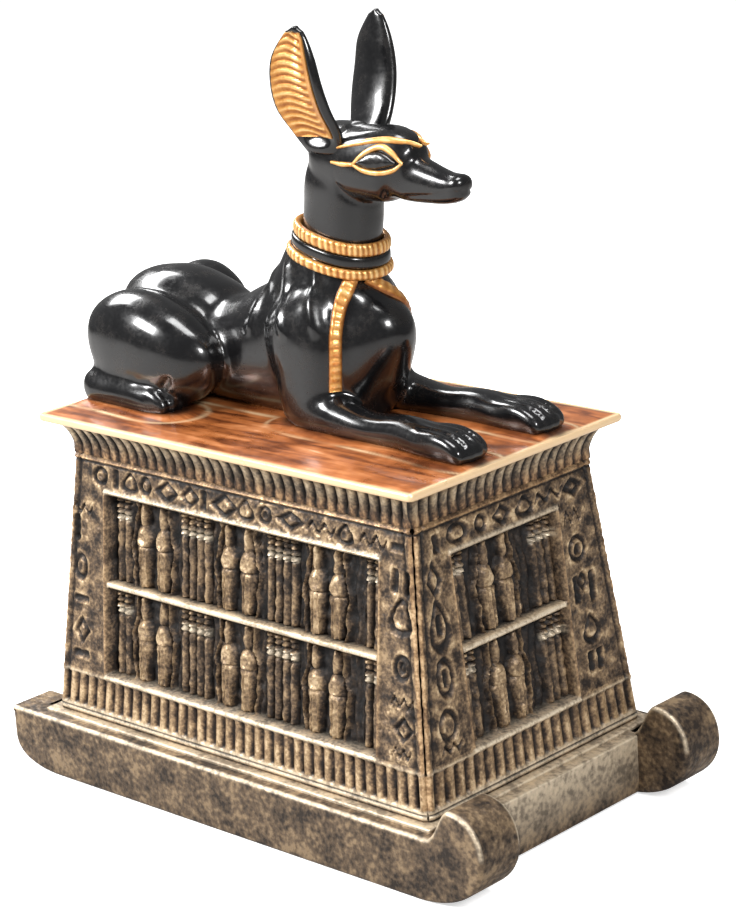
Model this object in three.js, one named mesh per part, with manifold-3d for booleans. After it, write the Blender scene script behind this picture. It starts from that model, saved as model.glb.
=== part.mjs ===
// A recumbent jackal on a shrine-shaped box that stands on a sledge, as a small cast figurine.
// Millimetres, +Z up, +X towards the jackal's nose, origin on the floor below the middle of the sledge.
import * as THREE from 'three';
import Module from 'manifold-3d';
import { mergeVertices } from 'three/addons/utils/BufferGeometryUtils.js';

const wasm = await Module();
wasm.setup();

// Sledge
const SLEDGE_LENGTH = 127.4;
const SLEDGE_WIDTH = 71.4;
const SLEDGE_HEIGHT = 12.6;
const RUNNER_WIDTH = 11.2;
const RUNNER_TIP_HEIGHT = 19.3;
const RUNNER_NOSE_HEIGHT = 11.6;
const RUNNER_TIP_BACK = 7.6;
const RUNNER_CURL_LENGTH = 13.2;
const RUNNER_FLAT_ENDS = { rear: 12, front: 15.4 };
const REAR_OVERHANG = 9.8;
const DECK_OVERHANG = 4.4;
const DECK_CLEARANCE = 0.8;

// Box with sloping sides
const BOX_FOOT = { length: 101.4, width: 62.6 };
const BOX_HEAD = { length: 91.0, width: 51.0 };
const BOX_BOTTOM = 13.9;
const BOX_TOP = 67.1;
const WALL = 6;
const FLOOR_THICKNESS = 5;
const CAVITY_DRAFT = 1;
const BOX_CENTRE_X = -SLEDGE_LENGTH / 2 + REAR_OVERHANG + BOX_FOOT.length / 2;
const STEP = { width: 1.9, height: 1.4 };

// Sunk panels, given along the slope of each side
const PANEL_BOTTOM = 23;
const PANEL_TOP = 60;
const PANEL_DEPTH = 3;
const MIDDLE_RAIL = 1.2;
const LONG_PANEL = { left: -36, right: 37.5 };
const SHORT_PANEL = { left: -16.5, right: 13.5 };
const RELIEF_HEIGHT = 2;
const RELIEF_ROOT = 0.6;
const RELIEF_GAP = 0.4;
const KNOT_PAIR_WIDTH = 10.6;
const KNOT = { waist: 0.52, loopMiddle: 0.76, loopHeight: 0.22, margin: 0.35 };
const PILLAR = { pitch: 2.1, height: 1.2, shaftShare: 0.74, headSink: 1.2, valleySink: 0.3 };

// Dado of upright bars round the foot of the box
const DADO_BOTTOM = 15.3;
const DADO_TOP = 21.8;
const DADO_DEPTH = 0.9;
const DADO_BARS = { long: 38, short: 22 };

// Lid: slab, hollow cornice with flutes, plug
const SLAB = { length: 100, width: 60.6, thickness: 1.5 };
const LID_HEIGHT = 8.4;
const CORNICE_FLUTES = { long: 34, short: 20 };
const FLUTE_DEPTH = 0.9;
const CORNICE_LEVELS = 3;
const CORNICE_INSET = 0.5;
const PLUG_DEPTH = 2.2;
const PLUG_GAP = 0.5;

// Jackal
const JACKAL_SHIFT_Y = 1.2;
const BODY_SIDES = 16;
const LIMB_SIDES = 10;
const SECTION_POWER = 2.3;
const EAR_TURN = 0.12;
const EAR_HOLLOW_SHARE = 0.78;
const COLLAR_TILT = -0.22;
const COLLARS = [
  { x: 6.9, z: 36.2, halfWidth: 6.9, halfDepth: 8.9, height: 2.1 },
  { x: 6, z: 31.8, halfWidth: 7.7, halfDepth: 9.7, height: 1.9 },
];
const RIBBON = { halfWidth: 1.3, halfThickness: 1.6, sides: 6 };

const SLAB_TOP = BOX_TOP + LID_HEIGHT;

const BLACK_LACQUER = { color: 0x0b0b0d, roughness: 0.22, metalness: 0 };
const COPPER_PAINT = { color: 0x8f4a22, roughness: 0.38, metalness: 0.35 };
const AGED_GOLD = { color: 0x6b5a3a, roughness: 0.55, metalness: 0.3 };

// A closed three.js geometry as a solid that can be joined and cut
function solidOf(geometry) {
  const bare = new THREE.BufferGeometry();
  bare.setAttribute('position', geometry.getAttribute('position').clone());
  if (geometry.index) bare.setIndex(geometry.index.clone());
  const merged = mergeVertices(bare, 1e-4);
  return new wasm.Manifold(new wasm.Mesh({
    numProp: 3,
    vertProperties: new Float32Array(merged.getAttribute('position').array),
    triVerts: new Uint32Array(merged.index.array),
  }));
}

function geometryOf(solid) {
  const mesh = solid.getMesh();
  const geometry = new THREE.BufferGeometry();
  geometry.setAttribute('position', new THREE.BufferAttribute(new Float32Array(mesh.vertProperties), 3));
  geometry.setIndex(new THREE.BufferAttribute(new Uint32Array(mesh.triVerts), 1));
  geometry.computeVertexNormals();
  return geometry;
}

function joined(solids) {
  return solids.reduce((sum, solid) => sum.add(solid));
}

// Rings of equal point count, closed by a fan at each end around the ring's middle
function skinOf(rings) {
  const count = rings[0].length;
  const points = rings.flat();
  const index = [];
  for (let r = 0; r + 1 < rings.length; r += 1) {
    for (let i = 0; i < count; i += 1) {
      const a = r * count + i;
      const b = r * count + ((i + 1) % count);
      index.push(a, b, b + count, a, b + count, a + count);
    }
  }
  for (const [start, flip] of [[0, true], [(rings.length - 1) * count, false]]) {
    const middle = new THREE.Vector3();
    for (let i = 0; i < count; i += 1) middle.add(points[start + i]);
    points.push(middle.divideScalar(count));
    for (let i = 0; i < count; i += 1) {
      const a = start + i;
      const b = start + ((i + 1) % count);
      index.push(...(flip ? [b, a, points.length - 1] : [a, b, points.length - 1]));
    }
  }
  const geometry = new THREE.BufferGeometry().setFromPoints(points);
  geometry.setIndex(index);
  return geometry;
}

// A block whose sides slope evenly between a lower and an upper rectangle
function slopingBlock(bottom, top) {
  const ring = ({ length, width, z }) => [[-1, -1], [1, -1], [1, 1], [-1, 1]]
    .map(([i, j]) => new THREE.Vector3(i * length / 2, j * width / 2, z));
  return solidOf(skinOf([ring(bottom), ring(top)]));
}

// Rectangle whose sides run in and out as pointed flutes, with a ridge at every corner
function flutedRing(length, width, z, depth, flutes) {
  const sides = [
    { from: [-1, -1], to: [1, -1], inward: [0, 1], count: flutes.long },
    { from: [1, -1], to: [1, 1], inward: [-1, 0], count: flutes.short },
    { from: [1, 1], to: [-1, 1], inward: [0, -1], count: flutes.long },
    { from: [-1, 1], to: [-1, -1], inward: [1, 0], count: flutes.short },
  ];
  const ring = [];
  for (const side of sides) {
    for (let k = 0; k < side.count * 2; k += 1) {
      const t = k / (side.count * 2);
      const cut = (k % 2) * depth;
      const x = THREE.MathUtils.lerp(side.from[0], side.to[0], t) * length / 2 + side.inward[0] * cut;
      const y = THREE.MathUtils.lerp(side.from[1], side.to[1], t) * width / 2 + side.inward[1] * cut;
      ring.push(new THREE.Vector3(x, y, z));
    }
  }
  return ring;
}

function boxSizeAt(z) {
  const t = (z - BOX_BOTTOM) / (BOX_TOP - BOX_BOTTOM);
  return {
    length: THREE.MathUtils.lerp(BOX_FOOT.length, BOX_HEAD.length, t),
    width: THREE.MathUtils.lerp(BOX_FOOT.width, BOX_HEAD.width, t),
    z,
  };
}

// The four sides of the box. A side's own axes are: along it, up its slope and straight out of it.
const BOX_SIDES = [
  { turn: 0, panel: LONG_PANEL, foot: BOX_FOOT.width / 2, head: BOX_HEAD.width / 2, pairs: 3 },
  { turn: Math.PI / 2, panel: SHORT_PANEL, foot: BOX_FOOT.length / 2, head: BOX_HEAD.length / 2, pairs: 1 },
  { turn: Math.PI, panel: LONG_PANEL, foot: BOX_FOOT.width / 2, head: BOX_HEAD.width / 2, pairs: 3 },
  { turn: -Math.PI / 2, panel: SHORT_PANEL, foot: BOX_FOOT.length / 2, head: BOX_HEAD.length / 2, pairs: 1 },
];

// Places a form drawn in a side's own axes, with its height measured straight up from the floor
function sidePlacement(side) {
  const height = BOX_TOP - BOX_BOTTOM;
  const along = new THREE.Vector3(1, 0, 0);
  const up = new THREE.Vector3(0, (side.foot - side.head) / height, 1);
  const out = new THREE.Vector3(0, -1, 0);
  const place = new THREE.Matrix4().makeBasis(along, up, out);
  place.setPosition(0, -side.foot - BOX_BOTTOM * (side.foot - side.head) / height, 0);
  return new THREE.Matrix4().makeRotationZ(side.turn).multiply(place);
}

function placedOn(side, geometry) {
  geometry.applyMatrix4(sidePlacement(side));
  return solidOf(geometry);
}

function slabForm(left, right, bottom, top, back, front) {
  const geometry = new THREE.BoxGeometry(right - left, top - bottom, front - back);
  geometry.translate((left + right) / 2, (bottom + top) / 2, (back + front) / 2);
  return geometry;
}

// A knot amulet: a loop above a waist, and a skirt that widens to its foot
function knotForm(middle, bottom, height, halfWidth) {
  const shape = new THREE.Shape();
  const waist = bottom + height * KNOT.waist;
  const opening = 0.7;
  shape.moveTo(middle - halfWidth, bottom);
  shape.lineTo(middle + halfWidth, bottom);
  shape.lineTo(middle + halfWidth * 0.5, waist);
  shape.absellipse(
    middle,
    bottom + height * KNOT.loopMiddle,
    halfWidth * 0.9,
    height * KNOT.loopHeight,
    -opening,
    Math.PI + opening,
  );
  shape.lineTo(middle - halfWidth * 0.5, waist);
  const geometry = new THREE.ExtrudeGeometry(shape, {
    depth: RELIEF_HEIGHT + RELIEF_ROOT,
    bevelEnabled: false,
    curveSegments: 2,
  });
  geometry.translate(0, 0, -PANEL_DEPTH - RELIEF_ROOT);
  return geometry;
}

// A group of pointed ribs standing side by side, and the block across their heads
function pillarForms(middle, bottom, height, count) {
  const reach = (count / 2) * PILLAR.pitch;
  const root = PANEL_DEPTH + RELIEF_ROOT;
  const valley = PANEL_DEPTH - PILLAR.valleySink;
  const ribs = new THREE.Shape();
  ribs.moveTo(middle - reach, root);
  ribs.lineTo(middle - reach, valley);
  for (let k = 0; k < count; k += 1) {
    const x = middle - reach + k * PILLAR.pitch;
    ribs.lineTo(x + PILLAR.pitch / 2, valley - PILLAR.height);
    ribs.lineTo(x + PILLAR.pitch, valley);
  }
  ribs.lineTo(middle + reach, root);
  const shaft = height * PILLAR.shaftShare;
  const columns = new THREE.ExtrudeGeometry(ribs, { depth: shaft, bevelEnabled: false });
  columns.rotateX(-Math.PI / 2);
  columns.translate(0, bottom, 0);
  const top = bottom + height;
  const head = slabForm(middle - reach, middle + reach, bottom + shaft, top, -root, -PILLAR.headSink);
  return [columns, head];
}

// What stands in one register of a panel: knots in pairs, with pillars between and beside them
function registerForms(side, bottom, top) {
  const { left, right } = side.panel;
  const foot = bottom + RELIEF_GAP;
  const height = top - bottom - 2 * RELIEF_GAP;
  const halfKnot = KNOT_PAIR_WIDTH / 4;
  const bay = (right - left - 3) / side.pairs;
  const forms = [];
  for (let p = 0; p < side.pairs; p += 1) {
    const middle = left + 2 + bay * (p + 0.42);
    for (const half of [-1, 1]) {
      forms.push(knotForm(middle + half * halfKnot, foot, height, halfKnot - KNOT.margin));
    }
    forms.push(...pillarForms(middle + bay / 2, foot, height, side.pairs > 1 ? 4 : 3));
  }
  forms.push(...pillarForms(left + 1.5 * PILLAR.pitch, foot, height, 2));
  return forms;
}

function sledgeSolid() {
  const rear = -SLEDGE_LENGTH / 2;
  const front = SLEDGE_LENGTH / 2;
  const side = new THREE.Shape();
  side.moveTo(rear, SLEDGE_HEIGHT);
  side.lineTo(rear, SLEDGE_HEIGHT / 2);
  side.quadraticCurveTo(rear + 0.4, 0.4, rear + RUNNER_FLAT_ENDS.rear, 0);
  side.lineTo(front - RUNNER_FLAT_ENDS.front, 0);
  side.bezierCurveTo(front - 6.8, 0.3, front + 0.3, 4.6, front, RUNNER_NOSE_HEIGHT);
  const tip = front - RUNNER_TIP_BACK;
  side.bezierCurveTo(front - 0.2, 16.6, tip + 4, RUNNER_TIP_HEIGHT, tip, RUNNER_TIP_HEIGHT);
  const curlFoot = front - RUNNER_CURL_LENGTH;
  side.bezierCurveTo(
    tip - 2.4,
    RUNNER_TIP_HEIGHT,
    curlFoot + 2.7,
    SLEDGE_HEIGHT + 1.6,
    curlFoot,
    SLEDGE_HEIGHT,
  );
  const runner = new THREE.ExtrudeGeometry(side, {
    depth: RUNNER_WIDTH,
    bevelEnabled: false,
    curveSegments: 7,
  });
  runner.rotateX(Math.PI / 2);
  const near = runner.clone().translate(0, -SLEDGE_WIDTH / 2 + RUNNER_WIDTH, 0);
  const far = runner.clone().translate(0, SLEDGE_WIDTH / 2, 0);
  const deckLength = BOX_FOOT.length + 2 * DECK_OVERHANG;
  const deckHeight = SLEDGE_HEIGHT - DECK_CLEARANCE;
  const deck = new THREE.BoxGeometry(deckLength, SLEDGE_WIDTH - RUNNER_WIDTH, deckHeight);
  deck.translate(BOX_CENTRE_X, 0, (SLEDGE_HEIGHT + DECK_CLEARANCE) / 2);
  const step = new THREE.BoxGeometry(
    BOX_FOOT.length + 2 * STEP.width,
    BOX_FOOT.width + 2 * STEP.width,
    STEP.height,
  );
  step.translate(BOX_CENTRE_X, 0, SLEDGE_HEIGHT);
  return joined([near, far, deck, step].map(solidOf));
}

function boxSolid() {
  const foot = slopingBlock(boxSizeAt(SLEDGE_HEIGHT), boxSizeAt(DADO_BOTTOM));
  const ring = (z) => {
    const { length, width } = boxSizeAt(z);
    return flutedRing(length, width, z, DADO_DEPTH, DADO_BARS);
  };
  const dado = solidOf(skinOf([ring(DADO_BOTTOM), ring(DADO_TOP)]));
  let wall = slopingBlock(boxSizeAt(DADO_TOP), boxSizeAt(BOX_TOP));
  const middle = (PANEL_BOTTOM + PANEL_TOP) / 2;
  const registers = [
    [PANEL_BOTTOM, middle - MIDDLE_RAIL / 2],
    [middle + MIDDLE_RAIL / 2, PANEL_TOP],
  ];
  const cuts = [];
  const relief = [];
  for (const side of BOX_SIDES) {
    for (const [bottom, top] of registers) {
      cuts.push(placedOn(side, slabForm(side.panel.left, side.panel.right, bottom, top, -PANEL_DEPTH, 2)));
      relief.push(...registerForms(side, bottom, top).map((form) => placedOn(side, form)));
    }
  }
  wall = wall.subtract(joined(cuts)).add(joined(relief));
  const shell = joined([foot, dado, wall]);
  const mouth = { length: BOX_HEAD.length - 2 * WALL, width: BOX_HEAD.width - 2 * WALL };
  const floor = {
    length: mouth.length - CAVITY_DRAFT,
    width: mouth.width - CAVITY_DRAFT,
    z: BOX_BOTTOM + FLOOR_THICKNESS,
  };
  const cavity = slopingBlock(floor, { ...mouth, z: BOX_TOP + 1 });
  return shell.subtract(cavity).translate([BOX_CENTRE_X, 0, 0]);
}

function lidSolid() {
  const bottom = BOX_TOP;
  const edge = SLAB_TOP - SLAB.thickness;
  const slab = new THREE.BoxGeometry(SLAB.length, SLAB.width, SLAB.thickness);
  slab.translate(0, 0, SLAB_TOP - SLAB.thickness / 2);
  const rings = [];
  for (let k = 0; k <= CORNICE_LEVELS; k += 1) {
    const angle = (k / CORNICE_LEVELS) * Math.PI / 2;
    const flare = 1 - Math.cos(angle);
    const length = THREE.MathUtils.lerp(BOX_HEAD.length, SLAB.length - 2 * CORNICE_INSET, flare);
    const width = THREE.MathUtils.lerp(BOX_HEAD.width, SLAB.width - 2 * CORNICE_INSET, flare);
    const z = THREE.MathUtils.lerp(bottom, edge, Math.sin(angle));
    rings.push(flutedRing(length, width, z, FLUTE_DEPTH, CORNICE_FLUTES));
  }
  const inset = 2 * (WALL + PLUG_GAP);
  const plug = new THREE.BoxGeometry(BOX_HEAD.length - inset, BOX_HEAD.width - inset, PLUG_DEPTH + 1);
  plug.translate(0, 0, bottom - PLUG_DEPTH + (PLUG_DEPTH + 1) / 2);
  return joined([slab, skinOf(rings), plug].map(solidOf)).translate([BOX_CENTRE_X, 0, 0]);
}

// Rounded section of a body part, in the plane of its two half sizes
function roundedSection(sides, power) {
  const section = [];
  for (let i = 0; i < sides; i += 1) {
    const angle = (i / sides) * Math.PI * 2;
    const c = Math.cos(angle);
    const s = Math.sin(angle);
    section.push([Math.sign(c) * Math.abs(c) ** (2 / power), Math.sign(s) * Math.abs(s) ** (2 / power)]);
  }
  return section;
}

// A body part lofted along stations [x, y, z, half width, half height], with its sections square to the path.
// The half width is measured level and across the path, the half height is square to both.
function bodyForm(stations, sides) {
  const path = new THREE.CatmullRomCurve3(stations.map(([x, y, z]) => new THREE.Vector3(x, y, z)));
  const section = roundedSection(sides, SECTION_POWER);
  const rings = stations.map(([x, y, z, halfWidth, halfHeight], k) => {
    const forward = path.getTangent(k / (stations.length - 1));
    const across = new THREE.Vector3(0, 1, 0);
    const rise = new THREE.Vector3().crossVectors(forward, across).normalize();
    return section.map(([u, v]) => new THREE.Vector3(x, y, z)
      .addScaledVector(across, u * halfWidth)
      .addScaledVector(rise, v * halfHeight));
  });
  return solidOf(skinOf(rings));
}

// Stations of the body parts: x, y, z, half width, half height, from the middle of the slab's top face.
// Limbs are given for the jackal's left side, and mirrored for its right.
const TRUNK = [
  [-48.6, 0, 12, 5, 6], [-46.4, 0, 13.2, 9, 10.2], [-42, 0, 12.9, 10.8, 12], [-36, 0, 12.3, 10.6, 12.4],
  [-31, 0, 11.6, 10.2, 11.6], [-25, 0, 10, 9.8, 10.5], [-18, 0, 10.3, 10, 11.2], [-11, 0, 11.6, 10, 13],
  [-4, 0, 13, 9.8, 14.4], [4, 0, 13.6, 9.2, 14.6], [11, 0, 13.2, 9.6, 13.8], [15.8, 0, 12.8, 7.8, 12.2],
  [18.8, 0, 12, 5, 9.2], [20, 0, 11.4, 1.8, 4],
];
const NECK = [
  [2, 0, 18, 9.2, 13.2], [3.9, 0, 25, 9.1, 13.4], [4.8, 0, 30, 8, 10.9], [6.6, 0, 34.5, 6.5, 8.4],
  [7.8, 0, 41, 6.3, 8.2], [8.3, 0, 47, 6.4, 7.6], [8.6, 0, 52, 5.4, 6],
];
const HEAD = [
  [2.4, 0, 50.6, 2.6, 3.4], [5, 0, 51, 5.6, 6.2], [10, 0, 50.9, 6.7, 7], [15, 0, 50.6, 6.9, 7],
  [20.5, 0, 50.6, 6.4, 7], [23.8, 0, 50.2, 5.5, 6.4], [26, 0, 48.9, 4.1, 4.8], [30, 0, 48.1, 3.3, 3.9],
  [35, 0, 47.6, 2.8, 3], [38, 0, 48, 2.4, 2.3], [39.2, 0, 48.2, 1.3, 1.3],
];
const UPPER_ARM = [
  [1.6, 6.5, 26, 3.2, 5.6], [2.8, 7.7, 23, 4.6, 8.2], [4, 8.8, 17, 4.8, 8.9], [5, 9.3, 10.5, 4.3, 8],
  [5, 9.6, 5, 4, 6.8], [4.6, 9.6, 1.5, 3, 4.4],
];
const FORELEG = [
  [-1, 9.4, 3.6, 2.6, 2.8], [3, 9.6, 4, 3.9, 4.5], [12, 10, 3.4, 4, 3.9], [22, 10.4, 2.7, 3.7, 3],
  [30, 10.6, 3.1, 3.8, 3.4], [36, 10.8, 2.8, 4.4, 3.1], [42, 11, 2.5, 4.7, 3], [46, 11, 1.8, 3.9, 2.3],
  [47.6, 11, 0.9, 2.2, 1],
];
const NEAR_HAUNCH = [
  [-49.6, 10.4, 9.4, 2.6, 3.2], [-47.8, 11.4, 10, 6.6, 7.4], [-43.4, 12.2, 11.2, 7.8, 10.2],
  [-37, 12.8, 11.8, 7.8, 10.8], [-31, 13, 11.2, 7.6, 10], [-25, 13, 9.8, 6.4, 8.6],
  [-19.8, 12.8, 8.6, 4.2, 6], [-17.4, 12.6, 7.8, 1.8, 2.6],
];
const FAR_HAUNCH = [
  [-48.8, 9.8, 10.4, 2.4, 3], [-47.2, 10.6, 11.6, 6, 8.4], [-44.4, 10.8, 12.4, 6.8, 10.8],
  [-42, 10.6, 11.9, 6.4, 10.6], [-39.4, 10.8, 9.7, 6.2, 8.4], [-34, 11, 7.4, 5.6, 6.7],
  [-27, 11.2, 6.4, 4.6, 5.6], [-24, 11.2, 5.8, 1.8, 2.6],
];
const REAR_FOOT = [
  [-49.4, 17, 2.8, 2.2, 2.2], [-47.6, 17.4, 3, 3.6, 3.6], [-40, 18, 2.8, 3.6, 3.5],
  [-34, 17.6, 2.7, 4.1, 3.7], [-29, 17, 2.2, 4.4, 3.4], [-26, 16.8, 1.5, 3.6, 2.4],
  [-24.6, 16.6, 0.9, 2, 1.2],
];
const TAIL = [
  [-45, 0, 15, 1.8, 2], [-47.6, 1, 10, 1.8, 2], [-47.8, 3, 3, 1.8, 2.2], [-45, 5, 1.2, 1.8, 2],
];

// Stations of an ear, in the order height up: x, distance from the middle, z, half chord, half thickness
const EAR_LEAF = [
  [9.6, 5.4, 53, 4.2, 2], [9.2, 7.3, 57, 5.4, 2.2], [8.3, 9.5, 61.5, 6, 2.2], [8, 10.8, 66.5, 5.7, 2.1],
  [8, 11.1, 71.5, 4.7, 1.8], [8.6, 11, 75.2, 2.7, 1.1], [8.9, 10.9, 77.2, 1.1, 0.6],
];
// The knot sits off the middle, so the two ribbon ends run their own ways down the chest
const RIBBON_ROUTES = [
  [[14.6, -5, 29.2], [13.2, -7.6, 25], [12.4, -9, 20], [12.5, -9.8, 14], [12.2, -10, 8.4]],
  [[15.8, -2, 29], [15.6, 2.2, 25.6], [15, 6.4, 21.2], [14.2, 9, 15.8], [13.4, 9.8, 10.8]],
];

// Leaf-shaped ear: it leans out, curves back in at its tip, and is hollowed on its outer face
function earSolid(side) {
  const section = roundedSection(LIMB_SIDES, 2);
  const ringOf = ([x, y, z, chord, thick], grow, shift) => section.map(([u, v]) => new THREE.Vector3(
    x + u * chord * grow,
    side * (y + shift - u * chord * grow * EAR_TURN + v * thick * grow * side),
    z,
  ));
  const blade = EAR_LEAF.map((station) => ringOf(station, 1, 0));
  const hollow = EAR_LEAF.slice(1, -1).map((station) => ringOf(station, EAR_HOLLOW_SHARE, station[4]));
  return solidOf(skinOf(blade)).subtract(solidOf(skinOf(hollow)));
}

// Band round the neck, tilted down to the front
function collarBand({ x, z, halfWidth, halfDepth, height }) {
  const section = roundedSection(BODY_SIDES, SECTION_POWER);
  const rings = [-0.5, 0.5].map((end) => section.map(([u, v]) => new THREE.Vector3(
    x + u * halfDepth,
    v * halfWidth,
    z + end * height + u * halfDepth * COLLAR_TILT,
  )));
  return solidOf(skinOf(rings));
}

// Ribbon end that hangs from the collar down the edge of the chest
function ribbonSolid(route) {
  const stations = route.map(([x, y, z]) => [x, y, z, RIBBON.halfWidth, RIBBON.halfThickness]);
  return bodyForm(stations, RIBBON.sides);
}

function jackalSolid() {
  const mirrored = (stations, side) => stations.map(([x, y, z, w, h]) => [x, side * y, z, w, h]);
  const parts = [
    bodyForm(TRUNK, BODY_SIDES),
    bodyForm(NECK, BODY_SIDES),
    bodyForm(HEAD, BODY_SIDES),
    bodyForm(TAIL, LIMB_SIDES),
    ...COLLARS.map(collarBand),
    ...RIBBON_ROUTES.map(ribbonSolid),
  ];
  for (const side of [-1, 1]) {
    for (const stations of [UPPER_ARM, FORELEG, side < 0 ? NEAR_HAUNCH : FAR_HAUNCH, REAR_FOOT]) {
      parts.push(bodyForm(mirrored(stations, side), LIMB_SIDES));
    }
    parts.push(earSolid(side));
  }
  // Everything under the slab's top face is cut away, so the figure rests flat on it
  const below = solidOf(new THREE.BoxGeometry(200, 200, 40).translate(0, 0, -20));
  return joined(parts).subtract(below).translate([BOX_CENTRE_X, JACKAL_SHIFT_Y, SLAB_TOP]);
}

function namedMesh(name, solid, finish) {
  const mesh = new THREE.Mesh(geometryOf(solid), new THREE.MeshStandardMaterial(finish));
  mesh.name = name;
  return mesh;
}

const figurine = new THREE.Group();
figurine.add(
  namedMesh('shrine_box', sledgeSolid().add(boxSolid()), AGED_GOLD),
  namedMesh('shrine_lid', lidSolid(), COPPER_PAINT),
  namedMesh('jackal', jackalSolid(), BLACK_LACQUER),
);

export default figurine;
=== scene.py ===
"""Looks of a small cast figurine: a black jackal lies on a golden shrine box that stands on a sledge.

Lengths are in millimetres until a mesh is written, which is in metres. +Z is up and +X is where the
jackal looks. The origin is on the floor below the middle of the sledge.
"""

import logging
import math
from dataclasses import dataclass, field
from enum import Enum

import bpy
import numpy as np
from mathutils import Matrix, Vector


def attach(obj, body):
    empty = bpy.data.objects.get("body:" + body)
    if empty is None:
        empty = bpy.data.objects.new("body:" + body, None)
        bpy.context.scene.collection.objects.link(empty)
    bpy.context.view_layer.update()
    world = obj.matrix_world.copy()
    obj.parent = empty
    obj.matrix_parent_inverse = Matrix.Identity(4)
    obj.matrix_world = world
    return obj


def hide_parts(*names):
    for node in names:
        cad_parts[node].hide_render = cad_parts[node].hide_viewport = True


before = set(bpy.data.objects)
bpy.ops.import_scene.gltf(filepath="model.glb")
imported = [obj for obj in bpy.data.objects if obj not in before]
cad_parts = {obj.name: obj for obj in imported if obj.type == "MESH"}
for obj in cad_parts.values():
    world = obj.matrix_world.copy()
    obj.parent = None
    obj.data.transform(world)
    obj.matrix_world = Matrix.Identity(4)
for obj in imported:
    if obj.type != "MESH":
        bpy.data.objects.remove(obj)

LOG = logging.getLogger("figurine")
MM = 0.001

BOX_CENTRE_X = -3.2
SLAB_TOP = 75.5
JACKAL_ORIGIN = np.array([BOX_CENTRE_X, 1.2, SLAB_TOP])

Array = np.ndarray


def lerp(start: Array | float, end: Array | float, share: Array | float) -> Array | float:
    """Goes from start to end as share goes from 0 to 1."""
    return start + (end - start) * share


def smoothstep(low: float, high: float, value: Array) -> Array:
    """Rises smoothly from 0 at low to 1 at high."""
    t = np.clip((value - low) / (high - low), 0, 1)
    return t * t * (3 - 2 * t)


def ridge(distance: Array, width: float) -> Array:
    """Bell curve that is 1 where the distance is 0, exp(-(distance / width)^2)."""
    return np.exp(-((distance / width) ** 2))


def within(value: Array, low: float, high: float, soft: float) -> Array:
    """1 between low and high and 0 outside, with edges soft wide."""
    return smoothstep(low - soft / 2, low + soft / 2, value) * (
        1 - smoothstep(high - soft / 2, high + soft / 2, value)
    )


def unit(vectors: Array) -> Array:
    """Vectors along the last axis, made one long."""
    return vectors / np.maximum(np.linalg.norm(vectors, axis=-1, keepdims=True), 1e-9)


def ripple(points: Array, pitch: float, seed: int, waves: int = 6) -> Array:
    """Soft irregular value near -1 to 1 at each point, the mean of plane waves in seeded directions.

    Args:
        points: Places, with the coordinates on the last axis.
        pitch: Mean wave length.
        seed: Seed of the directions and phases.
        waves: Number of plane waves.

    Returns:
        The value at each place.
    """
    dice = np.random.default_rng(seed)
    total = np.zeros(points.shape[:-1])
    for _ in range(waves):
        way = unit(dice.normal(size=points.shape[-1]))
        length = pitch * dice.uniform(0.7, 1.5)
        total += np.sin(points @ way * (2 * math.pi / length) + dice.uniform(0, 2 * math.pi))
    return total / math.sqrt(waves)


def spline(stations: Array, samples: int) -> Array:
    """Smooth curve through the rows of stations.

    Each stretch is the cubic Hermite curve between two rows, over knots spaced by the square root of
    the distance between them, with the slope at a row from its two neighbours.

    Args:
        stations: Rows whose first columns, up to three, are coordinates. Other columns follow along.
        samples: Number of rows to return.

    Returns:
        The rows along the curve.
    """
    rows = np.asarray(stations, float)
    gaps = np.linalg.norm(np.diff(rows[:, :3], axis=0), axis=1) ** 0.5
    knots = np.concatenate([[0], np.cumsum(gaps)])
    steps = np.diff(rows, axis=0) / gaps[:, None]
    slopes = np.empty_like(rows)
    slopes[0], slopes[-1] = steps[0], steps[-1]
    before, after = gaps[:-1, None], gaps[1:, None]
    slopes[1:-1] = (steps[:-1] * after + steps[1:] * before) / (before + after)
    t = np.linspace(0, knots[-1], samples)
    k = np.clip(np.searchsorted(knots, t, side="right") - 1, 0, len(gaps) - 1)
    h = gaps[k][:, None]
    u = (t - knots[k])[:, None] / h
    return (
        (2 * u**3 - 3 * u**2 + 1) * rows[k]
        + (u**3 - 2 * u**2 + u) * h * slopes[k]
        + (3 * u**2 - 2 * u**3) * rows[k + 1]
        + (u**3 - u**2) * h * slopes[k + 1]
    )


@dataclass
class Surface:
    """Points, the faces between them, and values that the finishes read at each point."""

    points: Array
    quads: Array = field(default_factory=lambda: np.zeros((0, 4), int))
    triangles: Array = field(default_factory=lambda: np.zeros((0, 3), int))
    polygons: list[Array] = field(default_factory=list)
    values: dict[str, Array] = field(default_factory=dict)

    def volume(self) -> float:
        """Signed volume, positive when the faces look outward."""
        fans = [np.stack([np.full(len(p) - 2, p[0]), p[1:-1], p[2:]], axis=1) for p in self.polygons]
        halves = [self.quads[:, [0, 1, 2]], self.quads[:, [0, 2, 3]]]
        corners = self.points[np.concatenate([*halves, self.triangles, *fans]).astype(int)]
        a, b, c = corners[:, 0], corners[:, 1], corners[:, 2]
        return float((a * np.cross(b, c)).sum() / 6)

    def outward(self) -> "Surface":
        """The same surface with its faces turned outward if they look inward."""
        if self.volume() >= 0:
            return self
        turned = [p[::-1] for p in self.polygons]
        return Surface(self.points, self.quads[:, ::-1], self.triangles[:, ::-1], turned, self.values)

    @staticmethod
    def joined(parts: list["Surface"]) -> "Surface":
        """Several surfaces as one, each turned outward first."""
        parts = [part.outward() for part in parts]
        starts = np.concatenate([[0], np.cumsum([len(part.points) for part in parts])[:-1]])
        names = parts[0].values
        return Surface(
            np.concatenate([part.points for part in parts]),
            np.concatenate([part.quads + s for part, s in zip(parts, starts)]),
            np.concatenate([part.triangles + s for part, s in zip(parts, starts)]),
            [p + s for part, s in zip(parts, starts) for p in part.polygons],
            {name: np.concatenate([part.values[name] for part in parts]) for name in names},
        )


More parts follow.
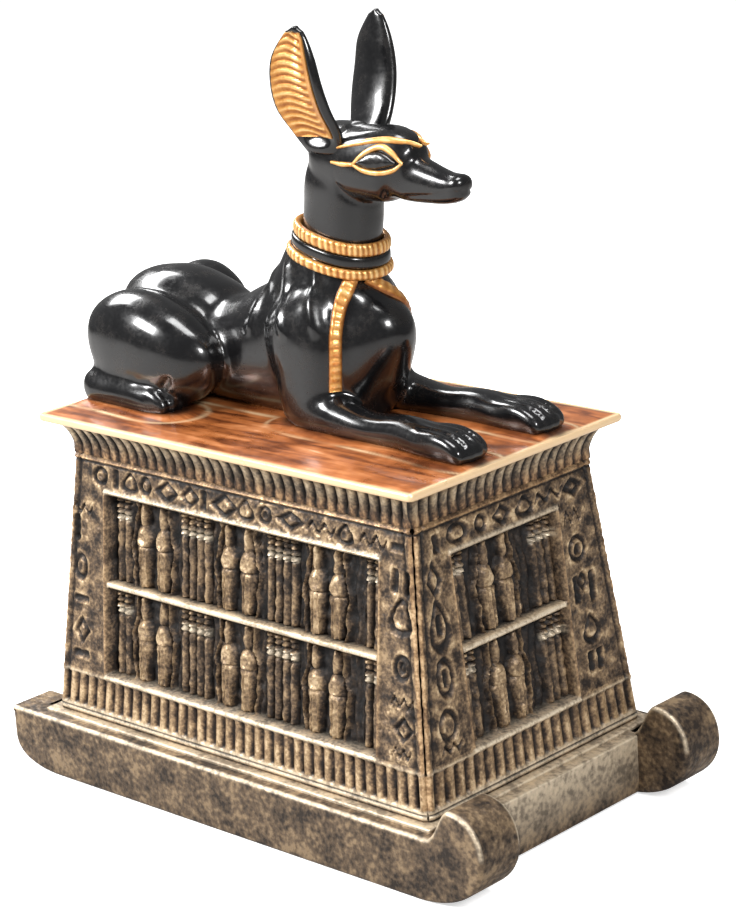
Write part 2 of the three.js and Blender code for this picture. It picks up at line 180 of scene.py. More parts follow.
def grid_quads(rows: int, columns: int, ring: bool = False) -> Array:
    """Faces of a grid whose points are counted along its rows.

    Args:
        rows: Number of rows of points.
        columns: Number of points in a row.
        ring: Whether the last point of a row is joined to its first.

    Returns:
        The four point numbers of each face.
    """
    r, c = np.meshgrid(
        np.arange(rows - 1), np.arange(columns if ring else columns - 1), indexing="ij"
    )
    nxt = (c + 1) % columns
    corners = [r * columns + c, r * columns + nxt, (r + 1) * columns + nxt, (r + 1) * columns + c]
    return np.stack(corners, axis=-1).reshape(-1, 4)


def tube(rings: Array, values: dict[str, Array] | None = None) -> Surface:
    """Closed surface through rings of points, with a fan of triangles over the first and last ring.

    Args:
        rings: Points by ring, place in the ring and coordinate.
        values: Values by name, by ring and place in the ring.

    Returns:
        The closed surface.
    """
    count, sides = rings.shape[:2]
    middles = rings[[0, -1]].mean(axis=1)
    points = np.concatenate([rings.reshape(-1, 3), middles])
    here = np.arange(sides)
    after = (here + 1) % sides
    last = (count - 1) * sides
    first_fan = np.stack([after, here, np.full(sides, count * sides)], axis=1)
    last_fan = np.stack([last + here, last + after, np.full(sides, count * sides + 1)], axis=1)
    full = {
        name: np.concatenate([value.ravel(), value[[0, -1]].mean(axis=1)])
        for name, value in (values or {}).items()
    }
    triangles = np.concatenate([first_fan, last_fan])
    return Surface(points, grid_quads(count, sides, ring=True), triangles, [], full)


def sheet(top: Array, bottom: Array, values: dict[str, Array] | None = None) -> Surface:
    """Closed surface between two grids of the same size, with walls along their edges.

    Args:
        top: Points by row, column and coordinate.
        bottom: Points on the other side, in the same order.
        values: Values by name, by row and column, used on both sides.

    Returns:
        The closed surface.
    """
    rows, columns = top.shape[:2]
    number = np.arange(rows * columns).reshape(rows, columns)
    rim = np.concatenate([number[0, :-1], number[:-1, -1], number[-1, :0:-1], number[:0:-1, 0]])
    under = rim + rows * columns
    walls = np.stack([np.roll(rim, -1), rim, under, np.roll(under, -1)], axis=1)
    face = grid_quads(rows, columns)
    quads = np.concatenate([face, face[:, ::-1] + rows * columns, walls])
    full = {name: np.tile(value.ravel(), 2) for name, value in (values or {}).items()}
    points = np.concatenate([top.reshape(-1, 3), bottom.reshape(-1, 3)])
    return Surface(points, quads, values=full)


def loft(stations: Array, samples: int, sides: int, power: float = 2.3) -> Surface:
    """Body part lofted along stations [x, y, z, half width, half height].

    A section is the superellipse (|cos|^(2/p), |sin|^(2/p)) scaled by the half sizes. The half width is
    level and across the path, the half height is square to both.

    Args:
        stations: Rows of place and half sizes.
        samples: Number of sections.
        sides: Number of points in a section.
        power: The power p of the superellipse.

    Returns:
        The closed surface.
    """
    path = spline(stations, samples)
    forward = unit(np.gradient(path[:, :3], axis=0))
    across = np.array([0.0, 1.0, 0.0])
    rise = unit(np.cross(forward, across))
    angle = np.linspace(0, 2 * math.pi, sides, endpoint=False)
    u = np.sign(np.cos(angle)) * np.abs(np.cos(angle)) ** (2 / power)
    v = np.sign(np.sin(angle)) * np.abs(np.sin(angle)) ** (2 / power)
    wide = np.maximum(path[:, 3], 0.05)[:, None, None]
    high = np.maximum(path[:, 4], 0.05)[:, None, None]
    rings = path[:, None, :3] + across * u[:, None] * wide + rise[:, None, :] * v[:, None] * high
    return tube(rings)


def mirrored(stations: list[list[float]]) -> list[list[float]]:
    """Stations with their second column negated."""
    return [[row[0], -row[1], *row[2:]] for row in stations]


def write_mesh(surface: Surface, name: str) -> bpy.types.Mesh:
    """Writes a surface as a mesh in metres, with faces outward and its values as attributes.

    Args:
        surface: What to write, in millimetres.
        name: Name of the mesh.

    Returns:
        The mesh.
    """
    surface = surface.outward()
    sizes = [np.full(len(surface.quads), 4), np.full(len(surface.triangles), 3)]
    counts = np.concatenate([*sizes, [len(p) for p in surface.polygons]]).astype(np.int32)
    corners = np.concatenate([surface.quads.ravel(), surface.triangles.ravel(), *surface.polygons])
    mesh = bpy.data.meshes.new(name)
    mesh.vertices.add(len(surface.points))
    mesh.vertices.foreach_set("co", (surface.points * MM).astype(np.float32).ravel())
    mesh.loops.add(len(corners))
    mesh.loops.foreach_set("vertex_index", corners.astype(np.int32))
    mesh.polygons.add(len(counts))
    mesh.polygons.foreach_set("loop_start", (np.cumsum(counts) - counts).astype(np.int32))
    mesh.polygons.foreach_set("use_smooth", np.ones(len(counts), bool))
    mesh.update(calc_edges=True)
    if mesh.validate():
        LOG.warning("%s: the mesh was repaired", name)
    for key, value in surface.values.items():
        layer = mesh.attributes.new(key, "FLOAT", "POINT")
        layer.data.foreach_set("value", value.astype(np.float32))
    return mesh


def add_piece(
    surface: Surface,
    name: str,
    material: bpy.types.Material,
    sharp: float | None = None,
) -> bpy.types.Object:
    """Adds a surface to the scene as a piece that rides on the root body.

    Args:
        surface: What to add.
        name: Name of the object.
        material: Its material.
        sharp: Angle in degrees above which an edge is shaded sharp, or None.

    Returns:
        The object.
    """
    name = name.replace(" ", "_")
    mesh = write_mesh(surface, name)
    if sharp is not None:
        mesh.set_sharp_from_angle(angle=math.radians(sharp))
    mesh.materials.append(material)
    piece = bpy.data.objects.new(name, mesh)
    bpy.context.scene.collection.objects.link(piece)
    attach(piece, "root")
    faces = 2 * len(surface.quads) + len(surface.triangles)
    LOG.info("%s: %d points, about %d triangles", name, len(surface.points), faces)
    return piece


class Wiring:
    """Adds and links nodes in one node tree."""

    def __init__(self, tree: bpy.types.NodeTree) -> None:
        """Keeps the tree to work on."""
        self.tree = tree

    def add(self, kind: str, **settings: object) -> bpy.types.Node:
        """A new node of a kind, with its properties set."""
        node = self.tree.nodes.new(kind)
        for key, value in settings.items():
            setattr(node, key, value)
        return node

    def feed(self, socket: bpy.types.NodeSocket, value: object) -> None:
        """Links a socket to an input, or sets the input's value."""
        if isinstance(value, bpy.types.NodeSocket):
            self.tree.links.new(value, socket)
        else:
            socket.default_value = value

    def maths(self, operation: str, *values: object, clamp: bool = False) -> bpy.types.NodeSocket:
        """The result of a maths node over the values."""
        node = self.add("ShaderNodeMath", operation=operation, use_clamp=clamp)
        for socket, value in zip(node.inputs, values):
            self.feed(socket, value)
        return node.outputs[0]

    def mix(self, share: object, start: object, end: object) -> bpy.types.NodeSocket:
        """Colour from start to end as share goes from 0 to 1."""
        node = self.add("ShaderNodeMix", data_type="RGBA")
        self.feed(node.inputs[0], share)
        self.feed(node.inputs[6], start)
        self.feed(node.inputs[7], end)
        return node.outputs[2]

    def span(self, value: object, low: float, high: float, start: float = 0.0, end: float = 1.0) -> bpy.types.NodeSocket:
        """Value mapped from low and high to start and end, and held there outside."""
        node = self.add("ShaderNodeMapRange", clamp=True)
        for socket, item in zip(node.inputs, (value, low, high, start, end)):
            self.feed(socket, item)
        return node.outputs[0]

    def ramp(self, value: object, stops: tuple[tuple[float, tuple[float, float, float]], ...]) -> bpy.types.NodeSocket:
        """Colour from a ramp with stops of place and colour."""
        node = self.add("ShaderNodeValToRGB")
        elements = node.color_ramp.elements
        for _ in range(len(stops) - 2):
            elements.new(0.5)
        for element, (place, colour) in zip(elements, stops):
            element.position = place
            element.color = (*colour, 1)
        self.feed(node.inputs[0], value)
        return node.outputs[0]

    def attribute(self, name: str) -> bpy.types.NodeSocket:
        """The value of a mesh attribute."""
        return self.add("ShaderNodeAttribute", attribute_name=name).outputs["Fac"]


class Effect(Enum):
    """Shader effects shared by the finishes."""

    MOTTLE = "mottle"
    GRAIN = "grain"
    PATINA = "patina"


class EffectShelf:
    """Makes each shared effect's node group once, and hands out nodes that use it."""

    def __init__(self) -> None:
        """Starts with no groups."""
        self.groups: dict[Effect, bpy.types.NodeTree] = {}

    def _new(self, effect: Effect, takes: dict[str, float], gives: dict[str, str]) -> Wiring:
        """A group with number inputs and named outputs, ready to be wired."""
        tree = bpy.data.node_groups.new(effect.value, "ShaderNodeTree")
        for name, value in takes.items():
            socket = tree.interface.new_socket(
                name=name, in_out="INPUT", socket_type="NodeSocketFloat"
            )
            socket.default_value = value
        for name, kind in gives.items():
            tree.interface.new_socket(name=name, in_out="OUTPUT", socket_type=kind)
        self.groups[effect] = tree
        return Wiring(tree)

    def _mottle(self) -> None:
        """Soft uneven value from 0 to 1, in two sizes of patch given as patches per metre."""
        wiring = self._new(
            Effect.MOTTLE,
            {"Scale": 120.0, "Fine Share": 0.4},
            {"Value": "NodeSocketFloat"},
        )
        source, sink = wiring.add("NodeGroupInput"), wiring.add("NodeGroupOutput")
        place = wiring.add("ShaderNodeTexCoord").outputs["Object"]
        coarse = wiring.add("ShaderNodeTexNoise")
        fine = wiring.add("ShaderNodeTexNoise")
        for node, scale in ((coarse, source.outputs["Scale"]), (fine, None)):
            wiring.feed(node.inputs["Vector"], place)
            wiring.feed(node.inputs["Detail"], 4.0)
            wiring.feed(
                node.inputs["Scale"],
                scale or wiring.maths("MULTIPLY", source.outputs["Scale"], 5.3),
            )
        part = wiring.maths("SUBTRACT", fine.outputs[0], 0.5)
        part = wiring.maths("MULTIPLY", part, source.outputs["Fine Share"])
        total = wiring.maths("ADD", coarse.outputs[0], part)
        wiring.feed(sink.inputs[0], wiring.span(total, 0.3, 0.7))

    def _grain(self) -> None:
        """Normal of a cast skin: soft dimples and fine grain, by scale and depth in metres."""
        wiring = self._new(
            Effect.GRAIN,
            {"Scale": 900.0, "Depth": 0.0001, "Strength": 0.5},
            {"Normal": "NodeSocketVector"},
        )
        source, sink = wiring.add("NodeGroupInput"), wiring.add("NodeGroupOutput")
        place = wiring.add("ShaderNodeTexCoord").outputs["Object"]
        noise = wiring.add("ShaderNodeTexNoise")
        wiring.feed(noise.inputs["Vector"], place)
        wiring.feed(noise.inputs["Scale"], source.outputs["Scale"])
        wiring.feed(noise.inputs["Detail"], 3.0)
        bump = wiring.add("ShaderNodeBump")
        wiring.feed(bump.inputs["Height"], noise.outputs[0])
        wiring.feed(bump.inputs["Strength"], source.outputs["Strength"])
        wiring.feed(bump.inputs["Distance"], source.outputs["Depth"])
        wiring.feed(sink.inputs[0], bump.outputs[0])

    def _patina(self) -> None:
        """Colour of gilding under a dark wash, from lift 0 in the hollows to 1 on the high parts, with a near-white
        painted highlight mixed in by the painted highlight input.
        """
        wiring = self._new(
            Effect.PATINA,
            {"Lift": 0.5, "PaintedHighlight": 0.0, "Warmth": 0.3, "Mottle": 0.5},
            {"Color": "NodeSocketColor", "Wash": "NodeSocketFloat"},
        )
        source, sink = wiring.add("NodeGroupInput"), wiring.add("NodeGroupOutput")
        lift, painted_highlight, warmth, mottle = source.outputs[:4]
        uneven = wiring.maths("MULTIPLY", wiring.maths("SUBTRACT", mottle, 0.5), 0.42)
        level = wiring.maths("ADD", lift, uneven, clamp=True)
        cold = wiring.ramp(
            level,
            (
                (0.0, (0.006, 0.006, 0.007)),
                (0.3, (0.022, 0.017, 0.013)),
                (0.55, (0.115, 0.085, 0.055)),
                (0.8, (0.30, 0.225, 0.135)),
                (1.0, (0.56, 0.45, 0.29)),
            ),
        )
        warm = wiring.ramp(
            level,
            (
                (0.0, (0.008, 0.005, 0.003)),
                (0.3, (0.035, 0.017, 0.008)),
                (0.55, (0.16, 0.085, 0.04)),
                (0.8, (0.42, 0.25, 0.12)),
                (1.0, (0.70, 0.47, 0.26)),
            ),
        )
        colour = wiring.mix(warmth, cold, warm)
        # Painted highlight: near-white colour mixed in where the painted highlight input is high, broken up by the
        # mottle.
        highlight_share = wiring.maths("MULTIPLY", painted_highlight, wiring.span(mottle, 0.1, 0.6, 0.45, 1.0))
        colour = wiring.mix(highlight_share, colour, (0.82, 0.71, 0.54, 1))
        wiring.feed(sink.inputs[0], colour)
        wiring.feed(sink.inputs[1], wiring.maths("SUBTRACT", 1.0, level))

    def place(self, wiring: Wiring, effect: Effect, **inputs: object) -> bpy.types.Node:
        """Adds a node that uses an effect.

        Args:
            wiring: Tree to add it to.
            effect: Which effect.
            inputs: Values or sockets by input name, with _ for a space.

        Returns:
            The group node.
        """
        makers = {
            Effect.MOTTLE: self._mottle,
            Effect.GRAIN: self._grain,
            Effect.PATINA: self._patina,
        }
        if effect not in self.groups:
            makers[effect]()
        node = wiring.add("ShaderNodeGroup", node_tree=self.groups[effect])
        for name, value in inputs.items():
            wiring.feed(node.inputs[name.replace("_", " ")], value)
        return node


@dataclass(frozen=True)
class Lacquer:
    """Glossy black lacquer with a clear coat."""

    name: str = "black lacquer"
    colour: tuple[float, float, float] = (0.004, 0.004, 0.0045)
    roughness: float = 0.14
    coat_roughness: float = 0.04
    wave_scale: float = 95.0
    wave_depth: float = 0.00022

    def make(self, shelf: EffectShelf) -> bpy.types.Material:
        """The material."""
        material = bpy.data.materials.new(self.name)
        material.use_nodes = True
        wiring = Wiring(material.node_tree)
        shader = material.node_tree.nodes["Principled BSDF"]
        mottle = shelf.place(wiring, Effect.MOTTLE, Scale=260.0, Fine_Share=0.6)
        dust = wiring.span(mottle.outputs[0], 0.55, 1.0, 0.0, 0.22)
        dark = wiring.mix(dust, (*self.colour, 1), (0.02, 0.015, 0.012, 1))
        wiring.feed(shader.inputs["Base Color"], dark)
        rough = wiring.span(mottle.outputs[0], 0.0, 1.0, self.roughness, self.roughness + 0.16)
        wiring.feed(shader.inputs["Roughness"], rough)
        shader.inputs["Coat Weight"].default_value = 0.3
        shader.inputs["Coat Roughness"].default_value = self.coat_roughness
        grain = shelf.place(
            wiring, Effect.GRAIN, Scale=self.wave_scale, Depth=self.wave_depth, Strength=0.35
        )
        wiring.feed(shader.inputs["Normal"], grain.outputs[0])
        return material


@dataclass(frozen=True)
class GoldPaint:
    """Satin gold paint that thins to brown in the grooves, read from the lift attribute, with a painted highlight at
    the top of its ramp.
    """

    name: str = "gold paint"
    colour: tuple[float, float, float] = (0.62, 0.29, 0.07)
    groove: tuple[float, float, float] = (0.10, 0.028, 0.008)
    roughness: float = 0.34
    metallic: float = 0.45

    def make(self, shelf: EffectShelf) -> bpy.types.Material:
        """The material."""
        material = bpy.data.materials.new(self.name)
        material.use_nodes = True
        wiring = Wiring(material.node_tree)
        shader = material.node_tree.nodes["Principled BSDF"]
        mottle = shelf.place(wiring, Effect.MOTTLE, Scale=420.0, Fine_Share=0.5)
        lift = wiring.attribute("lift")
        uneven = wiring.maths("MULTIPLY", wiring.maths("SUBTRACT", mottle.outputs[0], 0.5), 0.3)
        level = wiring.maths("ADD", lift, uneven, clamp=True)
        colour = wiring.ramp(
            level,
            (
                (0.0, self.groove),
                (0.35, (0.34, 0.115, 0.022)),
                (0.7, self.colour),
                # The top stop, reached on the crowns of the raised lines, is a painted highlight.
                (1.0, (0.90, 0.58, 0.24)),
            ),
        )
        wiring.feed(shader.inputs["Base Color"], colour)
        shader.inputs["Metallic"].default_value = self.metallic
        shader.inputs["Roughness"].default_value = self.roughness
        shader.inputs["Coat Weight"].default_value = 0.25
        grain = shelf.place(wiring, Effect.GRAIN, Scale=1600.0, Depth=0.0001, Strength=0.4)
        wiring.feed(shader.inputs["Normal"], grain.outputs[0])
        return material


@dataclass(frozen=True)
class CopperPaint:
    """Glossy copper paint brushed along the slab in streaks of brown, orange and pink, with a painted highlight round
    the feet, gold paint on the rim, and painted shade where the figure touches it.
    """

    name: str = "copper paint"
    roughness: float = 0.3

    def make(self, shelf: EffectShelf) -> bpy.types.Material:
        """The material."""
        material = bpy.data.materials.new(self.name)
        material.use_nodes = True
        wiring = Wiring(material.node_tree)
        shader = material.node_tree.nodes["Principled BSDF"]
        place = wiring.add("ShaderNodeTexCoord").outputs["Object"]
        stretch = wiring.add("ShaderNodeMapping")
        wiring.feed(stretch.inputs["Vector"], place)
        stretch.inputs["Scale"].default_value = (60.0, 330.0, 330.0)
        streaks = wiring.add("ShaderNodeTexNoise")
        wiring.feed(streaks.inputs["Vector"], stretch.outputs[0])
        wiring.feed(streaks.inputs["Scale"], 1.0)
        wiring.feed(streaks.inputs["Detail"], 6.0)
        wiring.feed(streaks.inputs["Distortion"], 0.7)
        streak = wiring.span(streaks.outputs[0], 0.32, 0.70)
        mottle = shelf.place(wiring, Effect.MOTTLE, Scale=70.0, Fine_Share=0.5)
        level = wiring.maths("ADD", wiring.maths("MULTIPLY", streak, 0.7), wiring.maths("MULTIPLY", mottle.outputs[0], 0.3))
        colour = wiring.ramp(
            level,
            (
                (0.0, (0.045, 0.012, 0.004)),
                (0.3, (0.17, 0.045, 0.012)),
                (0.6, (0.42, 0.13, 0.035)),
                (0.85, (0.62, 0.24, 0.09)),
                (1.0, (0.80, 0.42, 0.24)),
            ),
        )
        # Painted highlight round the feet and real gold paint on the rim, both from one attribute.
        gilt_and_highlight = wiring.attribute("gilt_and_highlight")
        colour = wiring.mix(gilt_and_highlight, colour, (0.86, 0.62, 0.36, 1))
        # Painted shade: near-black where the figure meets the slab.
        painted_contact_shade = wiring.attribute("painted_contact_shade")
        colour = wiring.mix(painted_contact_shade, colour, (0.012, 0.007, 0.005, 1))
        wiring.feed(shader.inputs["Base Color"], colour)
        shader.inputs["Metallic"].default_value = 0.25
        wiring.feed(shader.inputs["Roughness"], wiring.span(mottle.outputs[0], 0.0, 1.0, self.roughness - 0.08, self.roughness + 0.12))
        shader.inputs["Coat Weight"].default_value = 0.5
        shader.inputs["Coat Roughness"].default_value = 0.12
        grain = shelf.place(wiring, Effect.GRAIN, Scale=210.0, Depth=0.0003, Strength=0.4)
        wiring.feed(shader.inputs["Normal"], grain.outputs[0])
        return material


@dataclass(frozen=True)
class AgedGold:
    """Aged gilding under a dark wash, read from the lift, painted highlight and warmth attributes; the painted
    highlight attribute paints near-white highlights into the colour.
    """

    name: str = "aged gold"
    metallic: float = 0.35
    roughness: float = 0.46
    mottle_scale: float = 300.0
    grain_scale: float = 1400.0
    grain_depth: float = 0.00022

    def make(self, shelf: EffectShelf) -> bpy.types.Material:
        """The material."""
        material = bpy.data.materials.new(self.name)
        material.use_nodes = True
        wiring = Wiring(material.node_tree)
        shader = material.node_tree.nodes["Principled BSDF"]
        mottle = shelf.place(wiring, Effect.MOTTLE, Scale=self.mottle_scale, Fine_Share=0.9)
        patina = shelf.place(
            wiring,
            Effect.PATINA,
            Lift=wiring.attribute("lift"),
            # Painted highlight: near-white highlights painted into the colour from this attribute.
            PaintedHighlight=wiring.attribute("painted_highlight"),
            Warmth=wiring.attribute("warmth"),
            Mottle=mottle.outputs[0],
        )
        wiring.feed(shader.inputs["Base Color"], patina.outputs["Color"])
        shader.inputs["Metallic"].default_value = self.metallic
        wiring.feed(shader.inputs["Roughness"], wiring.span(patina.outputs["Wash"], 0.0, 1.0, self.roughness - 0.1, self.roughness + 0.2))
        grain = shelf.place(
            wiring, Effect.GRAIN, Scale=self.grain_scale, Depth=self.grain_depth, Strength=0.7
        )
        wiring.feed(shader.inputs["Normal"], grain.outputs[0])
        return material


class Mark(Enum):
    """Kinds of plain cut mark on the frame of the box."""

    RING = "ring"
    DROP = "drop"
    LOZENGE = "lozenge"
    BAR = "bar"
    WAVE = "wave"


@dataclass(frozen=True)
class CutMark:
    """One cut mark: its kind, middle along the side, height above the floor, and half sizes."""

    kind: Mark
    along: float
    up: float
    wide: float
    high: float

    def distance(self, along: Array, up: Array) -> Array:
        """Distance of each place from the mark's line.

        A ring is |r - 1| for r^2 = (x/w)^2 + (z/h)^2, a drop narrows upward, a lozenge is
        ||x|/w + |z|/h - 1|, a bar is the distance from its middle line, and a wave is
        |z - h sin(pi x / w)| inside twice its half width.
        """
        x = along - self.along
        z = up - self.up
        small = min(self.wide, self.high)
        if self.kind is Mark.BAR:
            return np.hypot(
                np.maximum(np.abs(x) - self.wide, 0), np.maximum(np.abs(z) - self.high, 0)
            )
        if self.kind is Mark.WAVE:
            off = np.abs(z - self.high * np.sin(math.pi * x / self.wide))
            return np.hypot(off, np.maximum(np.abs(x) - 2 * self.wide, 0))
        if self.kind is Mark.LOZENGE:
            return np.abs(np.abs(x) / self.wide + np.abs(z) / self.high - 1) * small * 0.8
        wide = self.wide
        if self.kind is Mark.DROP:
            wide = self.wide * (1 - 0.42 * np.clip(z / self.high, -1, 1))
        return np.abs(np.hypot(x / wide, z / self.high) - 1) * small


@dataclass(frozen=True)
class SidePlan:
    """What stands on one side of the box: its sizes, panel, knots, pillars and cut marks."""

    name: str
    turn: float
    foot_half: float
    head_half: float
    foot_out: float
    head_out: float
    left: float
    right: float
    knots: tuple[float, ...]
    pillars: tuple[tuple[float, int], ...]
    bars: int
    marks: tuple[CutMark, ...]


class ReliefField:
    """Height, finish and painted highlight values over one side of the box, in its own axes along and up."""

    PANEL_BOTTOM = 23.0
    PANEL_TOP = 60.0
    RAIL_LOW = 40.9
    RAIL_HIGH = 42.1
    DEPTH = 3.0
    DADO_BOTTOM = 15.3
    DADO_TOP = 21.8
    KNOT_SHIFT = 2.65

    def __init__(self, plan: SidePlan, along: Array, up: Array, half: Array) -> None:
        """Starts with a flat side over a grid of places."""
        self.plan = plan
        self.along = along
        self.up = up
        self.half = half
        self.height = np.zeros_like(along)
        self.lift = np.full_like(along, 0.6)
        self.painted_highlight = np.zeros_like(along)
        self.warmth = np.full_like(along, 0.35)
        self.places = np.stack([along, up], axis=-1)

    def _knot(self, x: Array, v: Array) -> Array:
        """A knot: round head, narrow waist, arms, and a pleated skirt.

        Its half width w(v) is read from a table over its height, and its rise is
        (1 - (x/w)^2)^0.4, with pleats cos(2 pi x / 1.05) below the waist and cut bands.
        """
        levels = [0, 0.04, 0.25, 0.46, 0.56, 0.64, 0.71, 0.77, 0.84, 0.9, 0.955, 0.97]
        widths = [1.3, 1.5, 1.85, 2.25, 2.3, 1.9, 0.85, 0.95, 1.15, 0.95, 0.5, 0.05]
        wide = np.interp(v, levels, widths)
        dome = np.clip(1 - (x / wide) ** 2, 0, 1) ** 0.4
        rise = 1.75 * dome * within(v, 0.01, 0.975, 0.02)
        pleats = 0.24 * np.cos(2 * math.pi * x / 1.05) * (1 - smoothstep(0.40, 0.48, v))
        oval = 0.35 * ridge(np.hypot(x / 1.25, (v - 0.56) / 0.075) - 1, 0.28)
        bands = 0.5 * ridge(v - 0.47, 0.012) + 0.45 * ridge(v - 0.70, 0.014)
        return rise + (pleats + oval - bands) * (dome > 0.2)

    def _pillars(self, x: Array, v: Array, count: int) -> tuple[Array, Array]:
        """Upright bars at a pitch of 2.1 with rows of beads over their heads.

        A bar's rise is |sin(pi x / pitch)|^0.6, and a bead's is that times |sin| up the rows; the second value
        returned is a painted highlight on the lowest rows of beads.
        """
        pitch = 2.1
        share = (x + count * pitch / 2) / pitch
        inside = (share > 0) & (share < count)
        arch = np.abs(np.sin(math.pi * share)) ** 0.6 * inside
        shaft = 1.35 * arch * within(v, 0.01, 0.70, 0.02)
        rows = np.abs(np.sin(math.pi * (v - 0.70) / 0.066)) ** 0.6
        beads = 1.7 * arch * rows * within(v, 0.70, 0.965, 0.015)
        return np.maximum(shaft, beads), arch * rows * within(v, 0.70, 0.80, 0.02)

    def _register(self, bottom: float, top: float) -> None:
        """Fills one register of the panel with knots in pairs, pillars and wavy strips."""
        x, z = self.along, self.up
        v = (z - bottom) / (top - bottom)
        inside = (z > bottom) & (z < top) & (x > self.plan.left) & (x < self.plan.right)
        wave = x + 0.4 * np.sin(z * 0.55 + x * 0.35)
        relief = 0.55 * (0.5 + 0.5 * np.cos(2 * math.pi * wave / 1.9))
        glint = np.zeros_like(x)
        for middle in self.plan.knots:
            off = np.abs(x - middle)
            edge = np.interp(v, [0, 0.25, 0.5, 0.68, 0.85, 1], [5.2, 5.5, 6.0, 5.1, 4.4, 4.9])
            strip = 1.5 * ridge(off - edge + 0.2 * np.sin(z * 1.1), 0.42)
            second = 1.0 * ridge(off - edge + 1.0, 0.3) * (v > 0.62)
            relief = np.where(off < edge, relief * 0.25, relief)
            relief = np.maximum(relief, np.maximum(strip, second))
            for side in (-1, 1):
                relief = np.maximum(relief, self._knot(x - middle - side * self.KNOT_SHIFT, v))
        for middle, count in self.plan.pillars:
            rise, bead = self._pillars(x - middle, v, count)
            near = np.abs(x - middle) < count * 1.05
            relief = np.where(near, rise, relief)
            # Painted highlight on the pillars' lowest rows of beads.
            glint = np.maximum(glint, bead * near)
        relief += 0.12 * ripple(self.places, 2.6, 11)
        level = np.clip(relief / 1.75, 0, 1)
        self.height = np.where(inside, -self.DEPTH + relief, self.height)
        self.lift = np.where(inside, 0.05 + 0.72 * level**1.2, self.lift)
        self.painted_highlight = np.where(inside, 0.75 * glint, self.painted_highlight)

    def _panel(self) -> None:
        """Sinks the panel with its two registers, and runs fillets along its rails, with a painted highlight on each
        rail's crown and on the beads above and below the panel.
        """
        plan, x, z = self.plan, self.along, self.up
        middle_low, middle_high = self.RAIL_LOW, self.RAIL_HIGH
        self._register(self.PANEL_BOTTOM, middle_low)
        self._register(middle_high, self.PANEL_TOP)
        across = (x > plan.left) & (x < plan.right)
        rail = across & (z >= middle_low) & (z <= middle_high)
        crown = 1 - ((z - 41.5) / 0.75) ** 2
        self.height = np.where(rail, -0.7 + 0.7 * np.clip(crown, 0, 1), self.height)
        self.lift = np.where(rail, 0.85, self.lift)
        # Painted highlight along the crown of the rail.
        self.painted_highlight = np.where(rail, 0.85 * np.clip(crown, 0, 1), self.painted_highlight)
        reach = within(x, plan.left - 0.6, plan.right + 0.6, 0.4)
        # Each bead above and below the panel also gets a painted highlight.
        for level, rise, glint in ((60.45, 0.5, 0.8), (22.55, 0.5, 0.9)):
            bead = ridge(z - level, 0.42) * reach
            self.height += rise * bead
            self.lift = np.maximum(self.lift, 0.95 * bead)
            self.painted_highlight = np.maximum(self.painted_highlight, glint * bead)
        tall = within(z, self.PANEL_BOTTOM, self.PANEL_TOP, 0.4)
        for edge in (plan.left - 0.45, plan.right + 0.45):
            bead = ridge(x - edge, 0.4) * tall
            self.height += 0.35 * bead
            self.lift = np.maximum(self.lift, 0.8 * bead)
            self.warmth = np.maximum(self.warmth, 0.7 * bead)

    def _frame(self) -> None:
        """Cuts the marks into the posts and the frieze."""
        plan, x, z = self.plan, self.along, self.up
        open_frame = (x < plan.left - 0.9) | (x > plan.right + 0.9) | (z > 60.9)
        open_frame &= (z > 22.9) & (z < 65.9)
        cut = np.zeros_like(x)
        lip = np.zeros_like(x)
        for mark in plan.marks:
            far = mark.distance(x, z)
            cut = np.maximum(cut, ridge(far, 0.36))
            lip = np.maximum(lip, ridge(far - 0.75, 0.3))
        cut *= open_frame
        lip *= open_frame * (1 - cut)
        rough = ripple(self.places, 1.9, 23) * 0.09 * open_frame
        self.height += rough - 0.6 * cut + 0.16 * lip
        soft = ripple(self.places, 3.2, 5)
        base = 0.52 + 0.14 * soft + 0.25 * lip
        self.lift = np.where(open_frame, np.clip(base, 0.2, 1) * (1 - 0.9 * cut), self.lift)

    def _dado(self) -> None:
        """Upright bars round the foot, a ledge over them and two thin steps under them."""
        plan, x, z = self.plan, self.along, self.up
        share = (x / self.half + 1) / 2 * plan.bars
        arch = np.abs(np.sin(math.pi * share)) ** 0.55
        inside = within(z, self.DADO_BOTTOM, self.DADO_TOP, 0.3)
        self.height = lerp(self.height, -0.95 + 1.05 * arch, inside)
        self.lift = lerp(self.lift, 0.02 + 0.72 * arch**1.4, inside)
        self.warmth = lerp(self.warmth, 0.45, inside)
        # Each bead of the ledge and steps also gets a painted highlight.
        for level, width, rise, glint in (
            (22.1, 0.3, 0.3, 0.35),
            (15.0, 0.26, 0.25, 0.75),
            (14.1, 0.26, 0.45, 0.85),
        ):
            bead = ridge(z - level, width)
            self.height += rise * bead
            self.lift = np.maximum(self.lift, 0.9 * bead)
            self.painted_highlight = np.maximum(self.painted_highlight, glint * bead)
        for level in (14.55, 13.65):
            groove = ridge(z - level, 0.16)
            self.lift *= 1 - 0.9 * groove

    def _edges(self) -> None:
        """Round moulding up each corner and under the cornice, with a dark line beside it."""
        x, z = self.along, self.up
        inward = self.half - np.abs(x)
        above = smoothstep(15.2, 15.6, z)
        bead = ridge(inward - 0.5, 1.0) * above
        groove = ridge(inward - 2.35, 0.35) * above
        self.height += 0.3 * bead - 0.35 * groove
        self.lift = np.maximum(self.lift * (1 - 0.75 * groove), 0.82 * bead)
        self.warmth = np.maximum(self.warmth, 0.85 * bead)
        torus = ridge(z - 66.5, 0.42)
        line = ridge(z - 65.8, 0.22)
        self.height += 0.5 * torus - 0.25 * line
        self.lift = np.maximum(self.lift * (1 - 0.8 * line), 0.8 * torus)
        self.warmth = np.maximum(self.warmth, 0.9 * torus)

